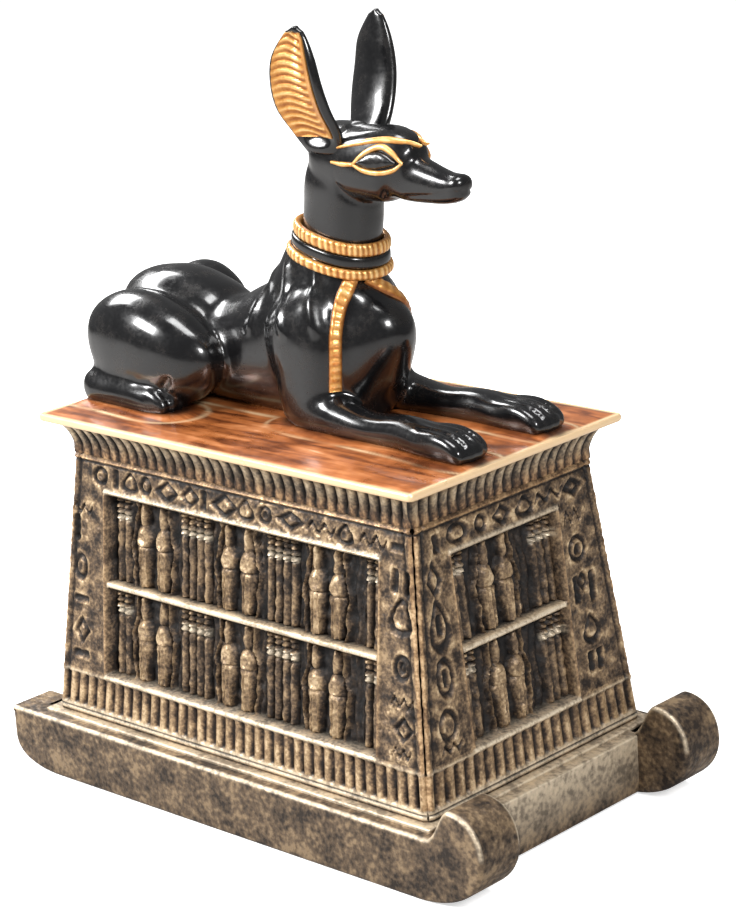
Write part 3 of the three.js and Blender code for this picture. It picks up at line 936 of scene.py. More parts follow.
    def fill(self) -> "ReliefField":
        """Makes everything on the side."""
        self._panel()
        self._frame()
        self._dado()
        self._edges()
        depth = smoothstep(24, 16, self.up) * 0.12
        self.lift = np.clip(self.lift + depth * (self.lift > 0.4), 0, 1)
        return self


def shared_marks(spots: list[tuple[Mark, float, float, float, float]]) -> tuple[CutMark, ...]:
    """Cut marks from rows of kind, along, up, half width and half height."""
    return tuple(CutMark(*spot) for spot in spots)


LONG_MARKS = shared_marks([
    (Mark.RING, -43.5, 44, 1.5, 2.2), (Mark.BAR, -44.5, 52, 0.5, 2.2), (Mark.WAVE, -43, 56, 1.3, 0.8),
    (Mark.BAR, -43.4, 37.5, 1.7, 0.2), (Mark.LOZENGE, -43.2, 31, 1.7, 2.2), (Mark.BAR, -43.5, 26, 1.8, 0.3),
    (Mark.RING, -37.5, 63.4, 1.6, 1.5), (Mark.BAR, -33, 63.4, 0.3, 1.5), (Mark.DROP, -29, 63.3, 1.7, 1.7),
    (Mark.RING, -24.5, 63.4, 1.2, 1.4), (Mark.LOZENGE, -18.5, 63.2, 2.6, 1.8),
    (Mark.LOZENGE, -12, 63.3, 2.1, 1.7), (Mark.BAR, -8.2, 63.3, 0.3, 1.6), (Mark.LOZENGE, -2.5, 63.2, 3.0, 1.9),
    (Mark.DROP, 3, 63.3, 1.8, 1.7), (Mark.RING, 8.3, 63.3, 1.4, 1.4), (Mark.RING, 8.3, 63.3, 0.4, 0.4),
    (Mark.LOZENGE, 15, 63.4, 2.8, 1.4), (Mark.WAVE, 23, 63.3, 1.6, 0.9), (Mark.DROP, 29, 63.2, 1.6, 1.6),
    (Mark.WAVE, 36, 63.2, 1.5, 1.0), (Mark.BAR, 42, 63.2, 1.4, 0.3),
    (Mark.BAR, 41.6, 57, 0.35, 1.8), (Mark.BAR, 44.6, 56.5, 0.35, 2.0), (Mark.DROP, 43.2, 50.5, 2.2, 3.0),
    (Mark.RING, 43.6, 41, 1.6, 2.0), (Mark.RING, 43.6, 41, 0.6, 0.8), (Mark.WAVE, 43.6, 34.5, 1.1, 0.8),
    (Mark.LOZENGE, 44.2, 29.5, 1.9, 2.0), (Mark.WAVE, 43.8, 25, 1.0, 0.7),
])
SHORT_MARKS = shared_marks([
    (Mark.LOZENGE, -21.6, 56.5, 1.5, 2.8), (Mark.DROP, -21.8, 48, 2.0, 4.2), (Mark.BAR, -21.8, 48, 0.4, 1.6),
    (Mark.RING, -22, 38.2, 1.9, 3.2), (Mark.BAR, -22, 38, 0.3, 1.3), (Mark.RING, -22.8, 29.3, 2.0, 2.6),
    (Mark.WAVE, -22.6, 25, 1.2, 0.6), (Mark.BAR, -20, 62.8, 0.4, 1.4),
    (Mark.RING, -14, 63.3, 2.3, 1.6), (Mark.RING, -7.5, 63.3, 1.2, 1.3), (Mark.LOZENGE, -1.5, 63.3, 2.1, 1.6),
    (Mark.DROP, 5, 63.2, 1.9, 1.6), (Mark.WAVE, 12, 63.4, 1.8, 0.8), (Mark.LOZENGE, 19, 63.2, 2.2, 1.3),
    (Mark.WAVE, 18.2, 57.6, 1.2, 1.2), (Mark.RING, 18.4, 51.2, 2.1, 2.2), (Mark.BAR, 18.4, 51, 0.5, 0.6),
    (Mark.BAR, 16.9, 43.4, 0.4, 2.2), (Mark.RING, 18.9, 44.6, 0.9, 1.2), (Mark.BAR, 21.4, 43, 0.4, 2.6),
    (Mark.DROP, 19.8, 35, 1.8, 2.4), (Mark.BAR, 18.6, 28.6, 0.35, 1.6), (Mark.BAR, 21.3, 28.6, 0.35, 1.6),
])
LONG_KNOTS = (-24.13, -0.63, 22.87)
LONG_PILLARS = ((-32.85, 2), (-12.38, 4), (11.12, 4), (34.62, 2))
SHORT_PILLARS = ((-13.35, 2), (10.34, 3))
SIDE_PLANS = (
    SidePlan("near side", 0.0, 50.7, 45.5, 31.3, 25.5, -36, 37.5, LONG_KNOTS, LONG_PILLARS, 38, LONG_MARKS),
    SidePlan("front end", 90.0, 31.3, 25.5, 50.7, 45.5, -16.5, 13.5, (-3.16,), SHORT_PILLARS, 22, SHORT_MARKS),
    SidePlan("far side", 180.0, 50.7, 45.5, 31.3, 25.5, -36, 37.5, LONG_KNOTS, LONG_PILLARS, 38, LONG_MARKS),
    SidePlan("rear end", 270.0, 31.3, 25.5, 50.7, 45.5, -16.5, 13.5, (-3.16,), SHORT_PILLARS, 22, SHORT_MARKS),
)


@dataclass
class ShrineBox:
    """The four sides and the floor of the hollow box."""

    material: bpy.types.Material
    bottom: float = 12.9
    foot_level: float = 13.9
    top: float = 67.1
    corner_radius: float = 1.9
    spacing: float = 0.33
    inner_half_long: float = 39.5
    inner_half_short: float = 19.5
    inner_bottom_inset: float = 0.5
    floor_level: float = 18.9

    def _columns(self, plan: SidePlan) -> tuple[Array, Array]:
        """Places along a side: a share in each of its three stretches, and the stretch number."""
        left = np.linspace(0, 1, round((plan.foot_half + plan.left) / self.spacing))
        middle = np.linspace(0, 1, round((plan.right - plan.left) / self.spacing))
        right = np.linspace(0, 1, round((plan.foot_half - plan.right) / self.spacing))
        stretches = [left[:-1], middle[:-1], right]
        numbers = [np.full(len(part), k) for k, part in enumerate(stretches)]
        return np.concatenate(stretches), np.concatenate(numbers)

    def _rows(self) -> Array:
        """Heights of the rows, close together at the rails."""
        count = round((self.top - self.bottom) / self.spacing)
        even = np.linspace(self.bottom, self.top, count)
        rails = [22.88, 23.0, 40.8, 40.92, 42.08, 42.2, 60.0, 60.12]
        return np.unique(np.concatenate([even, rails]))

    def side(self, plan: SidePlan) -> Surface:
        """One side as a closed solid: a height field in front, mitred ends and a plain back.

        The front point at (along, up) is moved out by the relief. Within a corner radius r of an
        end, a point turns in by r (1 - cos a) while it goes out to r sin a, for a up to 45 degrees.
        """
        share, stretch = self._columns(plan)
        up = self._rows()[:, None]
        slope = (up - self.foot_level) / (self.top - self.foot_level)
        half = lerp(plan.foot_half, plan.head_half, slope)
        out = lerp(plan.foot_out, plan.head_out, slope)
        starts = [-half, np.full_like(half, plan.left), np.full_like(half, plan.right)]
        ends = [starts[1], starts[2], half]
        start = np.concatenate([np.repeat(s, (stretch == k).sum(), axis=1) for k, s in enumerate(starts)], axis=1)
        end = np.concatenate([np.repeat(e, (stretch == k).sum(), axis=1) for k, e in enumerate(ends)], axis=1)
        along = start + (end - start) * share
        up = np.broadcast_to(up, along.shape)
        half_grid = np.broadcast_to(half, along.shape)
        relief = ReliefField(plan, along, up, half_grid).fill()
        radius = self.corner_radius
        inward = half_grid - np.abs(along)
        full = radius * (1 - math.cos(math.pi / 4))
        near = np.clip((radius - inward) / radius, 0, 1)
        turn = near * math.pi / 4
        back = radius * (1 - np.cos(turn))
        placed = np.sign(along) * (half_grid - full - radius * (math.sqrt(0.5) - np.sin(turn)))
        inner_start = radius - full - radius * math.sqrt(0.5)
        placed = np.where(near > 0, placed, along * 1.0)
        placed += np.sign(along) * 0 * inner_start
        front = np.stack([placed, -(out - back + relief.height), up], axis=-1)
        inside = self.inner_half_long if plan.foot_half > 40 else self.inner_half_short
        inside_out = self.inner_half_short if plan.foot_half > 40 else self.inner_half_long
        inset = self.inner_bottom_inset * (1 - slope)
        z = up[:, :1]
        backs = [
            np.concatenate([sign * (inside - inset), -(inside_out - inset), z], axis=1)[:, None]
            for sign in (-1, 1)
        ]
        rings = np.concatenate([front, backs[1], backs[0]], axis=1)
        values = {
            "lift": relief.lift,
            "painted_highlight": relief.painted_highlight,
            "warmth": relief.warmth,
        }
        padded = {
            name: np.concatenate([value, np.full((len(up), 2), 0.15)], axis=1)
            for name, value in values.items()
        }
        rows, columns = rings.shape[:2]
        last = np.arange(columns) + (rows - 1) * columns
        surface = Surface(
            rings.reshape(-1, 3),
            grid_quads(rows, columns, ring=True),
            polygons=[np.arange(columns)[::-1], last],
            values={name: value.ravel() for name, value in padded.items()},
        )
        angle = math.radians(plan.turn)
        spin = np.array([
            [math.cos(angle), -math.sin(angle), 0],
            [math.sin(angle), math.cos(angle), 0],
            [0, 0, 1],
        ])
        surface.points = surface.points @ spin.T + np.array([BOX_CENTRE_X, 0, 0])
        return surface

    def floor(self) -> Surface:
        """The floor inside, a plain block."""
        half = np.array([self.inner_half_long + 0.6, self.inner_half_short + 0.6])
        corner = np.array([[-1, -1], [1, -1], [1, 1], [-1, 1]]) * half
        levels = (self.bottom, self.floor_level)
        rings = np.stack([np.column_stack([corner, np.full(4, z)]) for z in levels])
        rings[..., 0] += BOX_CENTRE_X
        plain = np.full(rings.shape[:2], 0.15)
        return tube(rings, {"lift": plain, "painted_highlight": plain * 0, "warmth": plain})

    def build(self) -> list[bpy.types.Object]:
        """Adds the sides and the floor."""
        pieces = [
            add_piece(self.side(plan), plan.name, self.material, 60)
            for plan in SIDE_PLANS
        ]
        pieces.append(add_piece(self.floor(), "box floor", self.material, 30))
        return pieces


def rounded_block(size: Array, middle: Array, radius: float, spacing: float) -> Surface:
    """Block with rounded upright and level edges.

    Rings of a rounded rectangle run from the middle of the under side, round the edge by
    radius (1 - cos a), and back to the middle of the top.

    Args:
        size: Length, width and height.
        middle: Its middle.
        radius: Radius of its edges.
        spacing: Distance between points.

    Returns:
        The closed surface.
    """
    half = np.asarray(size, float) / 2
    turn = np.linspace(0, math.pi / 2, 6)
    low_z = -half[2] + radius * (1 - np.sin(turn))
    low_in = radius * (1 - np.cos(turn))
    inner = np.array([0.02, 0.5, 0.9])
    scale_rows = [(s, -half[2], radius) for s in inner]
    rows = scale_rows + [(None, z, i) for z, i in zip(low_z[::-1], low_in[::-1])]
    rows += [(None, -z, i) for z, i in zip(low_z, low_in)] + [(s, half[2], radius) for s in inner[::-1]]
    outline = rounded_rectangle(half[0], half[1], radius, spacing)
    rings = []
    for scale, z, inset in rows:
        reach = (half[:2] - inset) / half[:2] * (1 if scale is None else scale)
        rings.append(np.column_stack([outline * reach, np.full(len(outline), z)]))
    return tube(np.stack(rings) + np.asarray(middle))


def rounded_rectangle(half_x: float, half_y: float, radius: float, spacing: float) -> Array:
    """Points round a rectangle with rounded corners, against the clock from the near left side."""
    turn = np.linspace(0, math.pi / 2, 7)
    corners = [(1, -1, -math.pi / 2), (1, 1, 0.0), (-1, 1, math.pi / 2), (-1, -1, math.pi)]
    runs = []
    for k, (sx, sy, start) in enumerate(corners):
        centre = np.array([sx * (half_x - radius), sy * (half_y - radius)])
        arc = centre + radius * np.column_stack([np.cos(start + turn), np.sin(start + turn)])
        runs.append(arc)
        length = 2 * (half_y if k % 2 == 0 else half_x) - 2 * radius
        way = np.array([0, 1]) if k == 0 else np.array([-1, 0]) if k == 1 else np.array([0, -1]) if k == 2 else np.array([1, 0])
        count = max(int(length / spacing), 2)
        steps = np.linspace(0, length, count + 1)[1:-1, None]
        runs.append(arc[-1] + steps * way)
    return np.concatenate(runs)


@dataclass
class Sledge:
    """Two runners with curled fronts, and the deck between them."""

    material: bpy.types.Material
    length: float = 127.4
    width: float = 71.4
    height: float = 12.6
    runner_width: float = 11.2
    tip_height: float = 19.3
    nose_height: float = 11.6
    tip_back: float = 7.6
    curl_length: float = 13.2
    edge_radius: float = 1.0
    deck_size: tuple[float, float, float] = (110.2, 62.0, 11.8)
    step_size: tuple[float, float, float] = (105.2, 66.4, 1.7)

    def _outline(self) -> Array:
        """Side outline of a runner, from its rear top round the bottom and the curl."""
        rear, front = -self.length / 2, self.length / 2
        tip, curl = front - self.tip_back, front - self.curl_length

        def bezier(corners: list[tuple[float, float]], count: int) -> Array:
            """Points of a Bezier curve, the last one left out."""
            t = np.linspace(0, 1, count, endpoint=False)[:, None]
            rows = np.array(corners, float)
            order = len(rows) - 1
            return sum(
                math.comb(order, k) * (1 - t) ** (order - k) * t**k * rows[k]
                for k in range(order + 1)
            )

        high = self.height
        return np.concatenate([
            bezier([(rear, high), (rear, high / 2)], 12),
            bezier([(rear, high / 2), (rear + 0.4, 0.4), (rear + 12, 0)], 26),
            bezier([(rear + 12, 0), (front - 15.4, 0)], 90),
            bezier([(front - 15.4, 0), (front - 6.8, 0.3), (front + 0.3, 4.6), (front, self.nose_height)], 36),
            bezier([(front, self.nose_height), (front - 0.2, 16.6), (tip + 4, self.tip_height), (tip, self.tip_height)], 26),
            bezier([(tip, self.tip_height), (tip - 2.4, self.tip_height), (curl + 2.7, high + 1.6), (curl, high)], 26),
            bezier([(curl, high), (rear, high)], 100),
        ])

    def runner(self, side: float) -> Surface:
        """One runner: its outline drawn in by radius (1 - cos a) at both edges of its width."""
        outline = self._outline()
        ahead = unit(np.roll(outline, -1, axis=0) - np.roll(outline, 1, axis=0))
        inward = np.column_stack([-ahead[:, 1], ahead[:, 0]])
        turn = np.linspace(0, math.pi / 2, 6)
        draw = self.edge_radius * (1 - np.sin(turn))
        reach = self.runner_width / 2 - self.edge_radius * (1 - np.cos(turn))
        rows = list(zip(draw, -reach[::1]))
        rows = [(d, -r) for d, r in zip(draw[::-1], reach[::-1])][::-1]
        rows = [(self.edge_radius * (1 - math.sin(a)), -self.runner_width / 2 + self.edge_radius * (1 - math.cos(a))) for a in turn]
        middle = np.linspace(-1, 1, 9)[1:-1] * (self.runner_width / 2 - self.edge_radius)
        rows += [(0.0, y) for y in middle]
        rows += [(d, -y) for d, y in rows[5::-1]]
        centre = side * (self.width - self.runner_width) / 2
        rings = np.stack([
            np.column_stack([
                outline[:, 0] + inward[:, 0] * d,
                np.full(len(outline), centre + y),
                outline[:, 1] + inward[:, 1] * d,
            ])
            for d, y in rows
        ])
        lift = np.full(rings.shape[:2], 0.5)
        painted_highlight = np.zeros(rings.shape[:2])
        # Painted highlight along the rounded edges at the top of the runner: lighter gold and a near-white painted
        # highlight.
        edge = np.array([ridge(np.array(abs(d - 0.25)), 0.3) if d > 0 else 0.0 for d, _ in rows])[:, None]
        top = smoothstep(11.0, 12.4, rings[..., 2])
        painted_highlight = np.maximum(painted_highlight, 0.55 * edge * top)
        lift = np.maximum(lift, 0.85 * edge * top)
        count, around = rings.shape[:2]
        last = np.arange(around) + (count - 1) * around
        return Surface(
            rings.reshape(-1, 3),
            grid_quads(count, around, ring=True),
            polygons=[np.arange(around)[::-1], last],
            values={"lift": lift.ravel(), "painted_highlight": painted_highlight.ravel(), "warmth": np.full(lift.size, 0.25)},
        )

    def block(self, size: tuple[float, float, float], bottom: float, lift: float) -> Surface:
        """A rounded block on the middle line under the box."""
        middle = (BOX_CENTRE_X, 0.0, bottom + size[2] / 2)
        surface = rounded_block(np.array(size), np.array(middle), 0.35, 1.2)
        # Painted highlight along the top rim: lighter gold all round, and a near-white painted highlight near the
        # outer faces.
        rim = ridge(surface.points[:, 2] - bottom - size[2] + 0.2, 0.3)
        inner = np.abs(surface.points[:, 1]) > size[1] / 2 - 0.5
        inner |= np.abs(surface.points[:, 0] - BOX_CENTRE_X) > size[0] / 2 - 0.5
        surface.values = {
            "lift": np.full(len(surface.points), lift) + 0.3 * rim,
            "painted_highlight": 0.7 * rim * inner,
            "warmth": np.full(len(surface.points), 0.3),
        }
        return surface

    def build(self) -> list[bpy.types.Object]:
        """Adds the runners, the deck and the step under the box."""
        return [
            add_piece(self.runner(-1.0), "near runner", self.material, 50),
            add_piece(self.runner(1.0), "far runner", self.material, 50),
            add_piece(self.block(self.deck_size, 0.8, 0.45), "deck", self.material, 50),
            add_piece(self.block(self.step_size, 11.6, 0.5), "step", self.material, 50),
        ]


@dataclass
class Lid:
    """The lid: a slab, the fluted cornice that flares under it, and a plug."""

    slab_material: bpy.types.Material
    gold_material: bpy.types.Material
    head: tuple[float, float] = (91.0, 51.0)
    slab: tuple[float, float] = (100.0, 60.6)
    thickness: float = 1.5
    bottom: float = 67.1
    flutes: tuple[int, int] = (34, 20)
    flute_depth: float = 0.95
    per_flute: int = 12
    inset: float = 0.5

    def _perimeter(self) -> tuple[Array, Array, Array]:
        """Unit rectangle places, inward ways, and the flute share of each column."""
        sides = (
            ((-1, -1), (1, -1), (0, 1), self.flutes[0]),
            ((1, -1), (1, 1), (-1, 0), self.flutes[1]),
            ((1, 1), (-1, 1), (0, -1), self.flutes[0]),
            ((-1, 1), (-1, -1), (1, 0), self.flutes[1]),
        )
        places, ways, shares = [], [], []
        for start, end, inward, count in sides:
            t = np.arange(count * self.per_flute) / (count * self.per_flute)
            places.append(lerp(np.array(start, float), np.array(end, float), t[:, None]))
            ways.append(np.broadcast_to(np.array(inward, float), (len(t), 2)))
            shares.append(t * count)
        return np.concatenate(places), np.concatenate(ways), np.concatenate(shares)

    def cornice(self) -> Surface:
        """Cavetto with rounded ribs: size goes with 1 - cos a, height with sin a, for a to 90 degrees.

        Ribs meet in narrow valleys: the cut is depth (1 - |cos(pi share)|^0.5) around the rim.
        """
        places, ways, share = self._perimeter()
        valley = 1 - np.abs(np.sin(math.pi * share)) ** 0.5
        angle = np.linspace(0, math.pi / 2, 26)
        flare = 1 - np.cos(angle)
        edge = SLAB_TOP - self.thickness + 0.2
        rings, lifts, painted_highlights, warms = [], [], [], []
        for f, z in zip(flare, lerp(self.bottom, edge, np.sin(angle))):
            size = lerp(np.array(self.head), np.array(self.slab) - 2 * self.inset, f) / 2
            fade = 0.25 + 0.75 * smoothstep(0.0, 0.05, np.array(f))
            ring = places * size + ways * (self.flute_depth * valley * fade)[:, None]
            rings.append(np.column_stack([ring, np.full(len(ring), z)]))
            level = (z - self.bottom) / (edge - self.bottom)
            crown = (1 - valley) ** 1.5
            lifts.append(0.03 + crown * (0.62 + 0.25 * ridge(np.array(level - 0.75), 0.2)))
            # Painted highlight: a near-white band across the rib crowns a little above the middle of the curve.
            painted_highlights.append(0.25 * crown**3 * ridge(np.array(level - 0.62), 0.18))
            warms.append(np.full(len(ring), 0.15 + 0.8 * float(ridge(np.array(level - 0.05), 0.22))))
        outer = np.stack(rings)
        inner = [
            np.column_stack([places * (np.array(self.head) / 2 - 4), np.full(len(places), z)])
            for z in (self.bottom, edge)
        ]
        full = np.concatenate([inner[0][None], outer, inner[1][None]])
        full[..., 0] += BOX_CENTRE_X
        values = {
            name: np.concatenate([rows[:1], rows, rows[-1:]])
            for name, rows in (("lift", np.stack(lifts)), ("painted_highlight", np.stack(painted_highlights)), ("warmth", np.stack(warms)))
        }
        return tube(full, values)

    def slab_surface(self, footprint: Array) -> Surface:
        """The slab: rectangle rings from the middle of the top, round the edge, to the under side.

        The top waves gently and rises as height exp(-(distance / reach)^2) to the figure's foot. A painted highlight
        runs round the feet about 4 mm out, the rim is gold paint, and painted shade darkens the slab where the figure
        touches it.

        Args:
            footprint: Rows of x, y and radius of discs that the figure stands on.
        """
        half = np.array(self.slab) / 2
        outline = rounded_rectangle(half[0], half[1], 1.1, 0.55)
        scales = np.concatenate([np.linspace(0.01, 0.94, 58), np.linspace(0.95, 1, 8)])
        radius = self.thickness / 2
        turn = np.linspace(math.pi / 2, -math.pi / 2, 11)[1:-1]
        rows = [(s, SLAB_TOP, 0.55 * radius) for s in scales]
        rows += [(1.0, SLAB_TOP - radius + radius * math.sin(a), 0.55 * radius * (1 - math.cos(a))) for a in turn]
        rows += [(s, SLAB_TOP - self.thickness, 0.55 * radius) for s in (1.0, 0.8, 0.02)]
        rings = np.stack([
            np.column_stack([outline * ((half - d) / half) * s, np.full(len(outline), z)])
            for s, z, d in rows
        ])
        rings[..., 0] += BOX_CENTRE_X
        flat = rings[..., :2]
        top = rings[..., 2] > SLAB_TOP - 0.01
        gap = np.full(flat.shape[:2], 1e3)
        for x, y, r in footprint:
            gap = np.minimum(gap, np.hypot(flat[..., 0] - x, flat[..., 1] - y) - r)
        inner = smoothstep(0, 3, np.minimum(half[0] - np.abs(flat[..., 0] - BOX_CENTRE_X), half[1] - np.abs(flat[..., 1])))
        rise = 0.75 * ridge(np.maximum(gap, 0), 2.6) + 0.10 * ripple(flat, 22, 3)
        rings[..., 2] += np.where(top, rise * inner - 0.12 * (1 - inner), 0)
        # Painted highlight: a light line on the slab about 4 mm out from the feet.
        gilt_and_highlight = ridge(gap - 4.1, 0.42) * top * (0.55 + 0.45 * np.clip(ripple(flat, 14, 8), -1, 1))
        edge_gap = np.minimum(half[0] - np.abs(flat[..., 0] - BOX_CENTRE_X), half[1] - np.abs(flat[..., 1]))
        # The rim of the slab is gold paint.
        gilt_and_highlight = np.maximum(gilt_and_highlight, 0.95 * (1 - smoothstep(0.7, 1.6, edge_gap)))
        # Painted shade in the crease where the figure touches the slab.
        painted_contact_shade = 0.8 * ridge(np.maximum(gap, 0), 1.1) * top
        return tube(rings, {"gilt_and_highlight": np.clip(gilt_and_highlight, 0, 1), "painted_contact_shade": painted_contact_shade})

    def build(self, footprint: Array) -> list[bpy.types.Object]:
        """Adds the slab, the cornice and the plug."""
        plug = rounded_block(np.array([77.8, 37.8, 3.4]), np.array([BOX_CENTRE_X, 0, 66.6]), 0.3, 2.0)
        plug.values = {name: np.full(len(plug.points), 0.15) for name in ("lift", "painted_highlight", "warmth")}
        return [
            add_piece(self.slab_surface(footprint), "slab", self.slab_material, 50),
            add_piece(self.cornice(), "cornice", self.gold_material, 60),
            add_piece(plug, "plug", self.gold_material, 50),
        ]


TRUNK = [
    [-48.6, 0, 12, 5, 6], [-46.4, 0, 13.2, 9, 10.2], [-42, 0, 12.9, 10.8, 12], [-36, 0, 12.3, 10.6, 12.4],
    [-31, 0, 11.6, 10.2, 11.6], [-25, 0, 10, 9.8, 10.5], [-18, 0, 10.3, 10, 11.2], [-11, 0, 11.6, 10, 13],
    [-4, 0, 13, 9.8, 14.4], [4, 0, 13.6, 9.2, 14.6], [11, 0, 13.2, 9.6, 13.8], [15.8, 0, 12.8, 7.8, 12.2],
    [18.8, 0, 12, 5, 9.2], [20, 0, 11.4, 1.8, 4],
]
NECK = [
    [2, 0, 18, 9.2, 13.2], [3.9, 0, 25, 9.1, 13.4], [4.8, 0, 30, 8, 10.9], [6.6, 0, 34.5, 6.5, 8.4],
    [7.8, 0, 41, 6.3, 8.2], [8.3, 0, 47, 6.4, 7.6], [8.6, 0, 52, 5.4, 6],
]
HEAD = [
    [2.4, 0, 50.6, 2.6, 3.4], [5, 0, 51, 5.6, 6.2], [10, 0, 50.9, 6.7, 7], [15, 0, 50.6, 6.9, 7],
    [20.5, 0, 50.6, 6.4, 7], [23.8, 0, 50.2, 5.5, 6.4], [26, 0, 48.9, 4.1, 4.8], [30, 0, 48.1, 3.3, 3.9],
    [35, 0, 47.6, 2.8, 3], [38, 0, 48, 2.4, 2.3], [39.2, 0, 48.2, 1.3, 1.3],
]
UPPER_ARM = [
    [1.6, 6.5, 26, 3.2, 5.6], [2.8, 7.7, 23, 4.6, 8.2], [4, 8.8, 17, 4.8, 8.9], [5, 9.3, 10.5, 4.3, 8],
    [5, 9.6, 5, 4, 6.8], [4.6, 9.6, 1.5, 3, 4.4],
]
FORELEG = [
    [-1, 9.4, 3.6, 2.6, 2.8], [3, 9.6, 4, 3.9, 4.5], [12, 10, 3.4, 4, 3.9], [22, 10.4, 2.7, 3.7, 3],
    [30, 10.6, 3.1, 3.8, 3.4], [36, 10.8, 2.8, 4.4, 3.1], [42, 11, 2.5, 4.7, 3], [46, 11, 1.8, 3.9, 2.3],
    [47.6, 11, 0.9, 2.2, 1],
]
NEAR_HAUNCH = [
    [-49.6, 10.4, 9.4, 2.6, 3.2], [-47.8, 11.4, 10, 6.6, 7.4], [-43.4, 12.2, 11.2, 7.8, 10.2],
    [-37, 12.8, 11.8, 7.8, 10.8], [-31, 13, 11.2, 7.6, 10], [-25, 13, 9.8, 6.4, 8.6],
    [-19.8, 12.8, 8.6, 4.2, 6], [-17.4, 12.6, 7.8, 1.8, 2.6],
]
FAR_HAUNCH = [
    [-48.8, 9.8, 10.4, 2.4, 3], [-47.2, 10.6, 11.6, 6, 8.4], [-44.4, 10.8, 12.4, 6.8, 10.8],
    [-42, 10.6, 11.9, 6.4, 10.6], [-39.4, 10.8, 9.7, 6.2, 8.4], [-34, 11, 7.4, 5.6, 6.7],
    [-27, 11.2, 6.4, 4.6, 5.6], [-24, 11.2, 5.8, 1.8, 2.6],
]
REAR_FOOT = [
    [-49.4, 17, 2.8, 2.2, 2.2], [-47.6, 17.4, 3, 3.6, 3.6], [-40, 18, 2.8, 3.6, 3.5],
    [-34, 17.6, 2.7, 4.1, 3.7], [-29, 17, 2.2, 4.4, 3.4], [-26, 16.8, 1.5, 3.6, 2.4],
    [-24.6, 16.6, 0.9, 2, 1.2],
]
TAIL = [[-45, 0, 15, 1.8, 2], [-47.6, 1, 10, 1.8, 2], [-47.8, 3, 3, 1.8, 2.2], [-45, 5, 1.2, 1.8, 2]]
EAR_LEAF = [
    [9.6, 5.4, 53, 4.2, 2], [9.2, 7.3, 57, 5.4, 2.2], [8.3, 9.5, 61.5, 6, 2.2], [8, 10.8, 66.5, 5.7, 2.1],
    [8, 11.1, 71.5, 4.7, 1.8], [8.6, 11, 75.2, 2.7, 1.1], [8.9, 10.9, 77.2, 1.1, 0.6],
]
RIBBON_ROUTES = [
    [[14.6, -5, 29.2], [13.2, -7.6, 25], [12.4, -9, 20], [12.5, -9.8, 14], [12.2, -10, 8.4]],
    [[15.8, -2, 29], [15.6, 2.2, 25.6], [15, 6.4, 21.2], [14.2, 9, 15.8], [13.4, 9.8, 10.8]],
]


class Skin:
    """A smooth closed mesh as arrays, that other pieces are laid on."""

    def __init__(self, points: Array, faces: list[Array], edges: Array) -> None:
        """Keeps the arrays.

        Args:
            points: Points in millimetres.
            faces: Face arrays by corner count.
            edges: Point pairs.
        """
        self.points = points
        self.faces = faces
        self.edges = edges
        self.normals = self.find_normals()

    def find_normals(self) -> Array:
        """Point normals, the sum of the normals of the faces round each point."""
        total = np.zeros_like(self.points)
        for face in self.faces:
            p = self.points[face]
            normal = np.cross(p[:, 2] - p[:, 0], p[:, -1] - p[:, 1])
            for corner in face.T:
                for axis in range(3):
                    total[:, axis] += np.bincount(corner, normal[:, axis], len(total))
        return unit(total)

    def relax(self, rounds: int, weight: Array | float, shrink: float = 0.5, grow: float = -0.52) -> None:
        """Smooths the points, in rounds of drawing each to the mean of its neighbours and back.

        Args:
            rounds: Number of rounds.
            weight: Share of the move that each point makes.
            shrink: Step towards the mean.
            grow: Step after it, negative to keep the volume, or 0.
        """
        a, b = self.edges.T
        count = len(self.points)
        degree = np.bincount(np.concatenate([a, b]), minlength=count)[:, None]
        weight = np.broadcast_to(np.asarray(weight, float), (count,))[:, None]
        for _ in range(rounds):
            for step in (shrink, grow):
                if step == 0:
                    continue
                near = np.stack([
                    np.bincount(a, self.points[b, axis], count) + np.bincount(b, self.points[a, axis], count)
                    for axis in range(3)
                ], axis=1) / degree
                self.points += step * weight * (near - self.points)
        self.normals = self.find_normals()

    def push(self, amount: Array) -> None:
        """Moves each point along its normal."""
        self.points = self.points + self.normals * amount[:, None]

    def settle(self, places: Array, way: Array, reach: float = 0.6, depth: float = 9.0) -> tuple[Array, Array]:
        """Moves places along a way until they lie on the skin.

        A place moves by the mean, over the skin's points that face it, of their distance along the
        way, weighted by exp(-(distance across the way / reach)^2).

        Args:
            places: Places by any leading axes and coordinate.
            way: Direction to move in, one or one for each place.
            reach: How far round each place the skin is averaged.
            depth: How far along the way the skin is looked for.

        Returns:
            The places on the skin, and its normals there.
        """
        shape = places.shape
        flat = places.reshape(-1, 3)
        ways = unit(np.broadcast_to(np.asarray(way, float), shape).reshape(-1, 3))
        low, high = flat.min(axis=0) - depth, flat.max(axis=0) + depth
        near = ((self.points > low) & (self.points < high)).all(axis=1)
        skin, normals = self.points[near], self.normals[near]
        moved, facing = np.empty_like(flat), np.empty_like(flat)
        for start in range(0, len(flat), 256):
            part = slice(start, start + 256)
            gap = skin[None] - flat[part, None]
            ahead = (gap * ways[part, None]).sum(axis=2)
            off = (gap**2).sum(axis=2) - ahead**2
            faces = (normals @ ways[part].T).T < -0.05
            weight = np.exp(-np.maximum(off, 0) / reach**2) * faces * (np.abs(ahead) < depth) + 1e-30
            weight /= weight.sum(axis=1, keepdims=True)
            moved[part] = flat[part] + ways[part] * (weight * ahead).sum(axis=1, keepdims=True)
            facing[part] = unit(weight @ normals)
        return moved.reshape(shape), facing.reshape(shape)


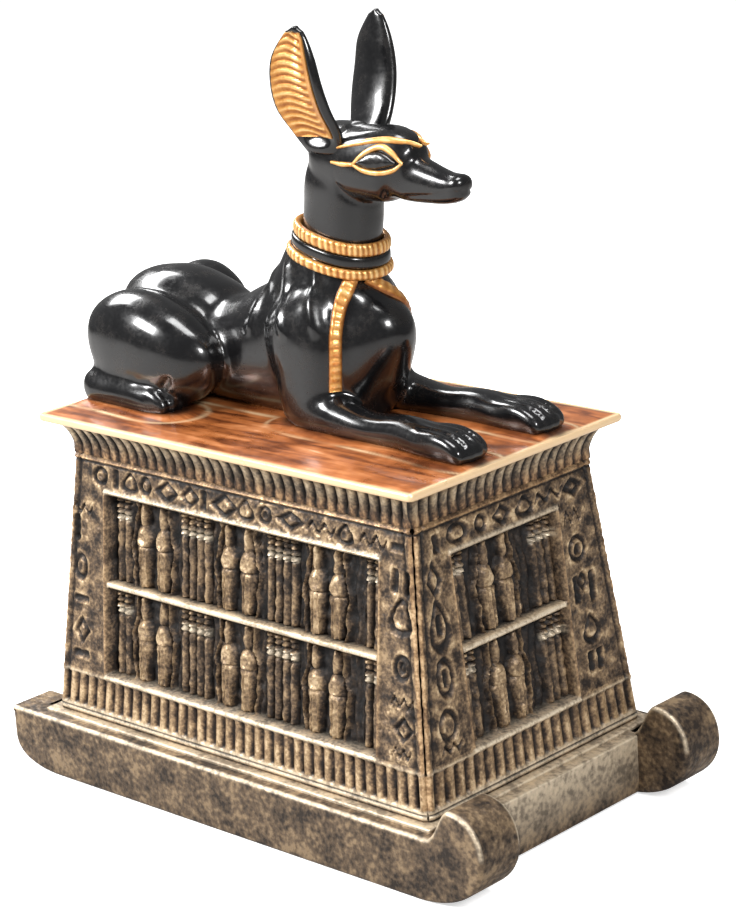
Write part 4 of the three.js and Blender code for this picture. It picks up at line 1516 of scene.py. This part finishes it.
@dataclass
class Jackal:
    """The jackal: one skin for its body, two ears, and what is painted gold on it."""

    lacquer: bpy.types.Material
    gold: bpy.types.Material
    voxel: float = 0.5
    sink: float = 0.4

    def _lofts(self) -> Surface:
        """All body parts as overlapping closed surfaces."""
        parts = [
            loft(TRUNK, 90, 64), loft(NECK, 60, 64), loft(HEAD, 80, 64), loft(TAIL, 40, 24),
            loft(NEAR_HAUNCH_MIRRORED, 60, 48), loft(FAR_HAUNCH, 60, 48),
        ]
        for stations in (UPPER_ARM, FORELEG, REAR_FOOT):
            parts += [loft(stations, 70, 40), loft(mirrored(stations), 70, 40)]
        for side in (-1, 1):
            parts += self._toes(side)
        return Surface.joined(parts)

    def _toes(self, side: int) -> list[Surface]:
        """Four toes on a front paw and four on a rear one."""
        toes = []
        for shift, ahead in ((-3.3, 0.0), (-1.15, 0.9), (1.15, 0.9), (3.3, 0.0)):
            y = side * (11 + shift)
            toes.append(loft([
                [35 + ahead, side * (10.8 + shift * 0.7), 3.4, 1.2, 1.9],
                [39.5 + ahead, side * (11 + shift * 0.95), 3.6, 1.35, 2.3],
                [43.2 + ahead, y, 3.0, 1.35, 2.3],
                [46 + ahead * 0.8, y, 1.8, 1.3, 1.8],
                [47 + ahead * 0.8, y, 0.8, 0.8, 0.9],
            ], 36, 20))
        for shift, ahead in ((-3.0, 0.0), (-1.05, 0.7), (1.05, 0.7), (3.0, 0.0)):
            y = side * (16.8 + shift)
            toes.append(loft([
                [-33 + ahead, side * (17.5 + shift * 0.7), 3.8, 1.1, 1.9],
                [-29.6 + ahead, side * (17 + shift * 0.95), 3.3, 1.25, 2.2],
                [-26.6 + ahead, y, 2.2, 1.2, 1.8],
                [-25 + ahead * 0.6, y, 1.0, 0.8, 1.0],
            ], 30, 20))
        return toes

    def _remeshed(self, surface: Surface) -> Skin:
        """The overlapping surfaces as one closed skin of even quads."""
        mesh = write_mesh(surface, "jackal parts")
        rough = bpy.data.objects.new("jackal parts", mesh)
        bpy.context.scene.collection.objects.link(rough)
        remesh = rough.modifiers.new("remesh", "REMESH")
        remesh.mode = "VOXEL"
        remesh.voxel_size = self.voxel * MM
        remesh.adaptivity = 0.0
        graph = bpy.context.evaluated_depsgraph_get()
        even = bpy.data.meshes.new_from_object(rough.evaluated_get(graph))
        points = np.empty(len(even.vertices) * 3, np.float32)
        even.vertices.foreach_get("co", points)
        corners = np.empty(len(even.loops), np.int32)
        even.loops.foreach_get("vertex_index", corners)
        totals = np.empty(len(even.polygons), np.int32)
        even.polygons.foreach_get("loop_total", totals)
        starts = np.cumsum(totals) - totals
        edges = np.empty(len(even.edges) * 2, np.int32)
        even.edges.foreach_get("vertices", edges)
        faces = [
            corners[starts[totals == size][:, None] + np.arange(size)] for size in (3, 4)
        ]
        bpy.data.objects.remove(rough)
        bpy.data.meshes.remove(mesh)
        bpy.data.meshes.remove(even)
        return Skin(points.reshape(-1, 3).astype(float) / MM, [f for f in faces if len(f)], edges.reshape(-1, 2))

    def _carve(self, skin: Skin) -> None:
        """Presses folds, toes, mouth, nostrils and eye sockets into the skin, each a bell curve."""
        x, y, z = skin.points.T
        side = np.abs(y)
        amount = np.zeros(len(x))
        head = (z > 42) & (x > 12)
        mouth_z = np.interp(x, [26, 29, 34, 38.4], [45.6, 46.0, 46.6, 47.3])
        amount -= 0.35 * ridge(z - mouth_z, 0.3) * head * smoothstep(26, 27.5, x) * (side > 0.6)
        socket = np.hypot((x - 22) / 5.2, (z - 52.9) / 3.0)
        amount -= 0.55 * ridge(socket, 0.9) * head * (side > 2.5)
        brow = np.abs(z - np.interp(x, [12, 18, 23, 28, 31], [55.0, 56.4, 57.2, 56.4, 53.6]))
        amount += 0.45 * ridge(brow, 1.2) * head * within(x, 13, 30, 4)
        nose = np.hypot((x - 38.4) / 1.6, (z - 49.4) / 1.4)
        amount += 0.4 * ridge(nose, 0.9)
        jaw = np.abs(np.hypot((x - 22) / 11.5, (z - 51.5) / 9.5) - 1)
        amount -= 0.3 * ridge(jaw * 9, 0.7) * head * (x < 22)
        for paths, weight in (
            ([(-1.2, 31.5), (-0.1, 24.2), (2.1, 18.6)], 0.55),
            ([(6, 32.3), (7.9, 25.2), (10.1, 19.6)], 0.5),
            ([(-7.1, 29.2), (-9.6, 23), (-11, 17)], 0.45),
        ):
            line = np.array(paths)[::-1]
            centre = np.interp(z, line[:, 1], line[:, 0])
            inside = within(z, line[0, 1], line[-1, 1], 3)
            amount += weight * ridge(x - centre, 1.0) * inside * (side > 4)
        front_paw = (z < 9) & (x > 33) & (x < 47)
        for groove in (-2.2, 0.0, 2.2):
            spread = np.interp(x, [33, 38, 45], [0.75, 0.92, 1.0])
            off = side - 10.9 - groove * spread
            amount -= 0.5 * ridge(off, 0.36) * front_paw * smoothstep(33, 40, x)
        rear_paw = (z < 8) & (x > -34) & (x < -24) & (side > 12)
        for groove in (-2.0, 0.0, 2.0):
            amount -= 0.45 * ridge(side - 16.9 - groove, 0.34) * rear_paw * smoothstep(-34, -30, x)
        skin.push(amount)

    def skin(self) -> Skin:
        """The body's skin, smooth, carved and cut level where it lies on the slab."""
        skin = self._remeshed(self._lofts())
        x, y, z = skin.points.T
        head = smoothstep(42, 45, z)
        paws = smoothstep(7.5, 4.5, z) * np.maximum(smoothstep(30, 36, x), smoothstep(-36, -32, x) * smoothstep(-20, -24, x))
        free = 1 - np.clip(0.75 * head + 0.75 * paws, 0, 0.9)
        skin.relax(10, 1.0)
        skin.relax(26, free, 0.5, 0.0)
        skin.relax(4, 1.0)
        self._carve(skin)
        skin.relax(2, 1.0)
        skin.points[:, 2] = np.maximum(skin.points[:, 2], -self.sink)
        skin.normals = skin.find_normals()
        return skin

    def body(self, skin: Skin) -> bpy.types.Object:
        """Adds the body."""
        quads = next((f for f in skin.faces if f.shape[1] == 4), np.zeros((0, 4), int))
        triangles = next((f for f in skin.faces if f.shape[1] == 3), np.zeros((0, 3), int))
        surface = Surface(skin.points + JACKAL_ORIGIN, quads, triangles)
        piece = add_piece(surface, "jackal body", self.lacquer)
        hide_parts("jackal")
        return piece

    def ear(self, side: int) -> list[bpy.types.Object]:
        """Adds an ear with its gold lining.

        A section is an ellipse over chord and thickness whose outer face is pressed in by a share of
        the thickness times (1 - (u / 0.86)^2). The lining is a sheet on that face, with waves
        sin(2 pi z / 1.45) across it.
        """
        path = spline(np.array(EAR_LEAF, float), 90)
        path[-6:, 3] *= np.linspace(1, 0.35, 6)
        angle = np.linspace(0, 2 * math.pi, 56, endpoint=False)
        u, v = np.cos(angle), np.sin(angle)
        chord, thick = path[:, 3:4], path[:, 4:5]
        level = np.linspace(0, 1, len(path))[:, None]
        hollow = 1.15 * np.clip(1 - (u / 0.86) ** 2, 0, 1) * smoothstep(0.02, 0.16, level) * (1 - smoothstep(0.86, 0.99, level))
        outward = np.where(v > 0, v - hollow * 0.95, v)

        def place(u: Array, out: Array) -> Array:
            """Points of the ear from chord share and outward share."""
            x = path[:, 0:1] + u * chord
            y = side * (path[:, 1:2] - u * chord * 0.12 + out * thick)
            return np.stack([x, y, np.broadcast_to(path[:, 2:3], x.shape)], axis=-1)

        shell = tube(place(u, outward) + JACKAL_ORIGIN)
        span = np.linspace(-0.8, 0.74, 25)
        rim = 1 - (span / 0.86) ** 2
        rise = np.sqrt(np.clip(1 - span**2, 0, 1)) - 1.15 * 0.95 * np.clip(rim, 0, 1) * smoothstep(0.02, 0.16, level) * (1 - smoothstep(0.86, 0.99, level))
        keep = slice(12, 84)
        z = path[keep, 2:3]
        wave = np.sin(2 * math.pi * (z + 0.5 * np.sin(span * 4)) / 1.45)
        mask = np.sqrt(np.clip(1 - (span / 0.82) ** 2, 0, 1)) * (span < 0.5)
        relief = 0.24 * wave * mask
        top = place(span, rise + 0.28 / thick)[keep] + np.stack([0 * relief, side * relief, 0 * relief], axis=-1)
        bottom = place(span, rise - 0.25 / thick)[keep]
        lift = 0.62 + 0.36 * wave * mask
        lining = sheet(top + JACKAL_ORIGIN, bottom + JACKAL_ORIGIN, {"lift": lift})
        label = "near" if side < 0 else "far"
        return [
            add_piece(shell, f"{label} ear", self.lacquer),
            add_piece(lining, f"{label} ear lining", self.gold, 60),
        ]

    def collar(self, name: str, middle: float, height: float, swell: float, gold: bool) -> bpy.types.Object:
        """Adds a band round the neck, tilted down to the front, with a rounded outer face.

        The band's middle line is an ellipse about the neck at the height middle - 0.22 x depth.
        """
        share = (middle - 31.8) / 4.4
        centre = lerp(6.0, 6.9, share)
        deep = lerp(9.7, 8.9, share)
        wide = lerp(7.7, 6.9, share)
        angle = np.linspace(0, 2 * math.pi, 220, endpoint=False)
        power = 2 / 2.3
        c = np.sign(np.cos(angle)) * np.abs(np.cos(angle)) ** power
        s = np.sign(np.sin(angle)) * np.abs(np.sin(angle)) ** power
        around = np.linspace(0, 2 * math.pi, 28, endpoint=False)
        out = swell * np.sign(np.cos(around)) * np.abs(np.cos(around)) ** 0.8
        tall = height / 2 * np.sign(np.sin(around)) * np.abs(np.sin(around)) ** 0.7
        rope = 0.1 * np.sin(angle * 46 + 0.0)[None] * np.clip(np.cos(around), 0, 1)[:, None] * gold
        x = centre + c[None] * (deep + out[:, None] + rope)
        y = s[None] * (wide + out[:, None] + rope)
        z = middle + c[None] * deep * -0.22 + tall[:, None]
        rings = np.stack([x, y, np.broadcast_to(z, x.shape)], axis=-1) + JACKAL_ORIGIN
        count, around_count = rings.shape[:2]
        quads = grid_quads(count + 1, around_count, ring=True) % (count * around_count)
        lift = np.clip(0.55 + 3.5 * rope + 0.2 * np.clip(np.cos(around), 0, 1)[:, None], 0, 1)
        lift = np.broadcast_to(lift, x.shape)
        surface = Surface(rings.reshape(-1, 3), quads, values={"lift": lift.ravel()} if gold else {})
        material = self.gold if gold else self.lacquer
        return add_piece(surface, name, material)

    def ribbon(self, skin: Skin, name: str, route: list[list[float]]) -> bpy.types.Object:
        """Adds a ribbon end that lies on the chest, with rows of small cross blocks.

        Its section is a low arch 0.55 high over a half width of 1.25.
        """
        path = spline(np.array(route, float), 120)
        ahead = unit(np.gradient(path, axis=0))
        out = unit(path * [1, 1, 0] - np.array([2.0, 0, 0]))
        across = unit(np.cross(ahead, out))
        span = np.linspace(-1, 1, 13)
        flat = path[:, None] + across[:, None] * span[:, None] * 1.25 + out[:, None] * 3
        laid, normal = skin.settle(flat, -out[:, None] * np.ones_like(flat), 0.8)
        length = np.concatenate([[0], np.cumsum(np.linalg.norm(np.diff(path, axis=0), axis=1))])
        block = 0.5 + 0.5 * np.cos(2 * math.pi * length / 1.6)
        arch = np.clip(1 - span**4, 0, 1)
        rise = 0.35 + 0.5 * arch[None] + 0.16 * block[:, None] * arch[None]
        lift = np.clip(0.3 + 0.55 * arch[None] * (0.45 + 0.55 * block[:, None]), 0, 1)
        top = laid + normal * rise[..., None]
        bottom = laid - normal * 0.8
        return add_piece(
            sheet(top + JACKAL_ORIGIN, bottom + JACKAL_ORIGIN, {"lift": lift}),
            name, self.gold, 60,
        )

    def strip(
        self,
        skin: Skin,
        name: str,
        side: int,
        line: list[tuple[float, float]],
        widths: list[float],
        rise: float,
        gold: bool = True,
        samples: int = 70,
    ) -> bpy.types.Object:
        """Adds a thin raised line on the side of the head.

        Args:
            skin: What it lies on.
            name: Name of the piece.
            side: -1 for the near side and 1 for the far one.
            line: Its way as x and z.
            widths: Its half width, read evenly along it.
            rise: Its height.
            gold: Whether it is gold or black.
            samples: Number of sections along it.

        Returns:
            The piece.
        """
        path = spline(np.array(line, float), samples)
        ahead = unit(np.gradient(path, axis=0))
        across = np.column_stack([-ahead[:, 1], ahead[:, 0]])
        wide = np.interp(np.linspace(0, 1, samples), np.linspace(0, 1, len(widths)), widths)
        span = np.linspace(-1, 1, 9)
        flat = path[:, None] + across[:, None] * (span[None, :, None] * wide[:, None, None])
        places = np.stack([flat[..., 0], np.full(flat.shape[:2], side * 14.0), flat[..., 1]], axis=-1)
        laid, normal = skin.settle(places, np.array([0.0, -side, 0.0]), 0.55, 15.0)
        arch = np.sqrt(np.clip(1 - span**2, 0, 1))
        top = laid + normal * (rise * arch + 0.04)[None, :, None]
        bottom = laid - normal * 0.45
        lift = np.broadcast_to(0.55 + 0.3 * arch, laid.shape[:2])
        surface = sheet(top + JACKAL_ORIGIN, bottom + JACKAL_ORIGIN, {"lift": lift} if gold else {})
        material = self.gold if gold else self.lacquer
        return add_piece(surface, name, material, 60)

    def face(self, skin: Skin, side: int) -> list[bpy.types.Object]:
        """Adds the eye with its outline, the line behind it and the brow, on one side."""
        label = "near" if side < 0 else "far"
        upper = [(17.1, 51.5), (19.4, 53.6), (22.6, 54.9), (25.2, 53.7), (26.8, 52.0)]
        lower = [(17.1, 51.5), (19.6, 50.5), (22.8, 50.2), (25.4, 50.8), (26.8, 52.0)]
        return [
            self.strip(skin, f"{label} eye top line", side, upper, [0.3, 0.55, 0.6, 0.5, 0.25], 0.4),
            self.strip(skin, f"{label} eye under line", side, lower, [0.3, 0.5, 0.5, 0.45, 0.25], 0.35),
            self.strip(skin, f"{label} eye line", side, [(12, 51.6), (14.5, 51.4), (17.3, 51.5)], [0.3, 0.5, 0.4], 0.35),
            self.strip(skin, f"{label} brow line", side, [(12.5, 54.1), (18, 55.4), (23.2, 56.1), (29.3, 55)], [0.2, 0.5, 0.55, 0.2], 0.4),
            self.strip(skin, f"{label} eyeball", side, [(18.3, 51.9), (22.2, 52.5), (25.8, 52.1)], [0.3, 1.5, 1.7, 1.2, 0.3], 0.7, gold=False),
        ]

    def footprint(self) -> Array:
        """Discs that the figure lies on, as rows of x, y and radius in the frame."""
        discs = []
        limbs = [TRUNK, FORELEG, mirrored(FORELEG), REAR_FOOT, mirrored(REAR_FOOT), NEAR_HAUNCH_MIRRORED, FAR_HAUNCH]
        for stations in limbs:
            path = spline(np.array(stations, float), 40)
            depth = np.clip((path[:, 4] - path[:, 2]) / path[:, 4], -1, 1)
            touch = path[:, 2] - path[:, 4] < 0.8
            reach = path[:, 3] * np.sqrt(np.clip(1 - (1 - depth) ** 2, 0.2, 1))
            discs.append(np.column_stack([path[:, 0], path[:, 1], reach])[touch])
        rows = np.concatenate(discs)
        rows[:, :2] += JACKAL_ORIGIN[:2]
        return rows

    def build(self) -> list[bpy.types.Object]:
        """Adds the body and everything on it."""
        skin = self.skin()
        pieces = [self.body(skin)]
        for side in (-1, 1):
            pieces += self.ear(side)
            pieces += self.face(skin, side)
        pieces += [
            self.collar("upper collar", 36.2, 2.5, 0.75, True),
            self.collar("middle collar", 33.9, 2.3, 0.55, False),
            self.collar("lower collar", 31.7, 2.0, 0.8, True),
        ]
        for name, route in zip(("near ribbon", "far ribbon"), RIBBON_ROUTES):
            pieces.append(self.ribbon(skin, name, route))
        return pieces


NEAR_HAUNCH_MIRRORED = mirrored(NEAR_HAUNCH)


@dataclass
class Studio:
    """Pale floor, soft lights and the camera at the photograph's place."""

    lens: float = 113.32
    azimuth: float = 43.94
    elevation: float = 16.85
    roll: float = -3.62
    camera: tuple[float, float, float] = (377.94, -383.99, 229.28)

    def _floor(self) -> None:
        """A large pale floor."""
        mesh = bpy.data.meshes.new("studio floor")
        corners = np.array([[-3, -3, 0], [3, -3, 0], [3, 3, 0], [-3, 3, 0]], float)
        mesh.from_pydata(corners.tolist(), [], [(0, 1, 2, 3)])
        material = bpy.data.materials.new("floor paint")
        material.use_nodes = True
        wiring = Wiring(material.node_tree)
        shader = material.node_tree.nodes["Principled BSDF"]
        shader.inputs["Roughness"].default_value = 0.7
        shader.inputs["Emission Strength"].default_value = 1.0
        path = wiring.add("ShaderNodeLightPath")
        seen = path.outputs["Is Camera Ray"]
        wiring.feed(shader.inputs["Base Color"], wiring.mix(seen, (0.42, 0.41, 0.40, 1), (0.85, 0.85, 0.85, 1)))
        wiring.feed(shader.inputs["Emission Color"], wiring.mix(seen, (0, 0, 0, 1), (0.62, 0.62, 0.62, 1)))
        mesh.materials.append(material)
        floor = bpy.data.objects.new("studio floor", mesh)
        bpy.context.scene.collection.objects.link(floor)

    def _light(self, name: str, place: tuple[float, float, float], size: tuple[float, float], power: float) -> None:
        """A rectangular soft light that looks at the figure."""
        lamp = bpy.data.lights.new(name, "AREA")
        lamp.shape = "RECTANGLE"
        lamp.size, lamp.size_y = size
        lamp.energy = power
        holder = bpy.data.objects.new(name, lamp)
        holder.location = place
        way = Vector((0, 0, 0.07)) - Vector(place)
        holder.rotation_euler = way.to_track_quat("-Z", "Y").to_euler()
        bpy.context.scene.collection.objects.link(holder)

    def _world(self) -> None:
        """Pale surroundings."""
        world = bpy.data.worlds.new("studio")
        world.use_nodes = True
        wiring = Wiring(world.node_tree)
        background = world.node_tree.nodes["Background"]
        background.inputs["Color"].default_value = (1, 1, 1, 1)
        seen = wiring.add("ShaderNodeLightPath").outputs["Is Camera Ray"]
        wiring.feed(background.inputs["Strength"], wiring.span(seen, 0.0, 1.0, 0.22, 1.0))
        bpy.context.scene.world = world

    def _camera(self) -> None:
        """The camera, from its place, angles and lens."""
        a, e, r = (math.radians(v) for v in (self.azimuth, self.elevation, self.roll))
        back = Vector((math.sin(a) * math.cos(e), -math.cos(a) * math.cos(e), math.sin(e)))
        right = Vector((math.cos(a), math.sin(a), 0))
        up = back.cross(right)
        x = math.cos(r) * right + math.sin(r) * up
        y = -math.sin(r) * right + math.cos(r) * up
        data = bpy.data.cameras.new("camera")
        data.lens = self.lens
        data.sensor_width = 36
        data.dof.use_dof = False
        data.clip_start, data.clip_end = 0.01, 20
        holder = bpy.data.objects.new("camera", data)
        holder.matrix_world = Matrix.Translation(Vector(self.camera) * MM) @ Matrix((x, y, back)).transposed().to_4x4()
        bpy.context.scene.collection.objects.link(holder)
        bpy.context.scene.camera = holder

    def build(self) -> None:
        """Adds the floor, lights, surroundings and camera."""
        self._floor()
        self._light("key light", (-0.42, -0.72, 0.62), (0.34, 0.3), 14.0)
        self._light("left light", (-0.72, 0.12, 0.66), (0.5, 0.34), 9.0)
        self._light("front light", (0.75, -0.35, 0.62), (0.22, 0.22), 7.0)
        self._light("top light", (0.05, 0.0, 1.0), (0.35, 0.35), 6.0)
        self._world()
        self._camera()
        bpy.context.scene.view_settings.view_transform = "Standard"


def corners(box: tuple[Vector, Vector]) -> list[list[float]]:
    """A box's corners as plain numbers."""
    return [[float(v) for v in corner] for corner in box]


def main() -> None:
    logging.basicConfig(level=logging.INFO, format="%(name)s %(message)s")
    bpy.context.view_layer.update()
    shelf = EffectShelf()
    lacquer = Lacquer().make(shelf)
    gold = GoldPaint().make(shelf)
    copper = CopperPaint().make(shelf)
    aged = AgedGold().make(shelf)
    sledge_gold = AgedGold(name="sledge bronze", mottle_scale=170.0, grain_scale=700.0, grain_depth=0.0005).make(shelf)
    box = ShrineBox(aged).build() + Sledge(sledge_gold).build()
    jackal = Jackal(lacquer, gold)
    lid = Lid(copper, aged).build(jackal.footprint())
    figure = jackal.build()
    for piece in box:
        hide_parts("shrine_box")
    for piece in lid:
        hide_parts("shrine_lid")
    for piece in box + lid + figure:
        LOG.info("%s is in place", piece.name)
    Studio().build()


if __name__ == "__main__":
    main()
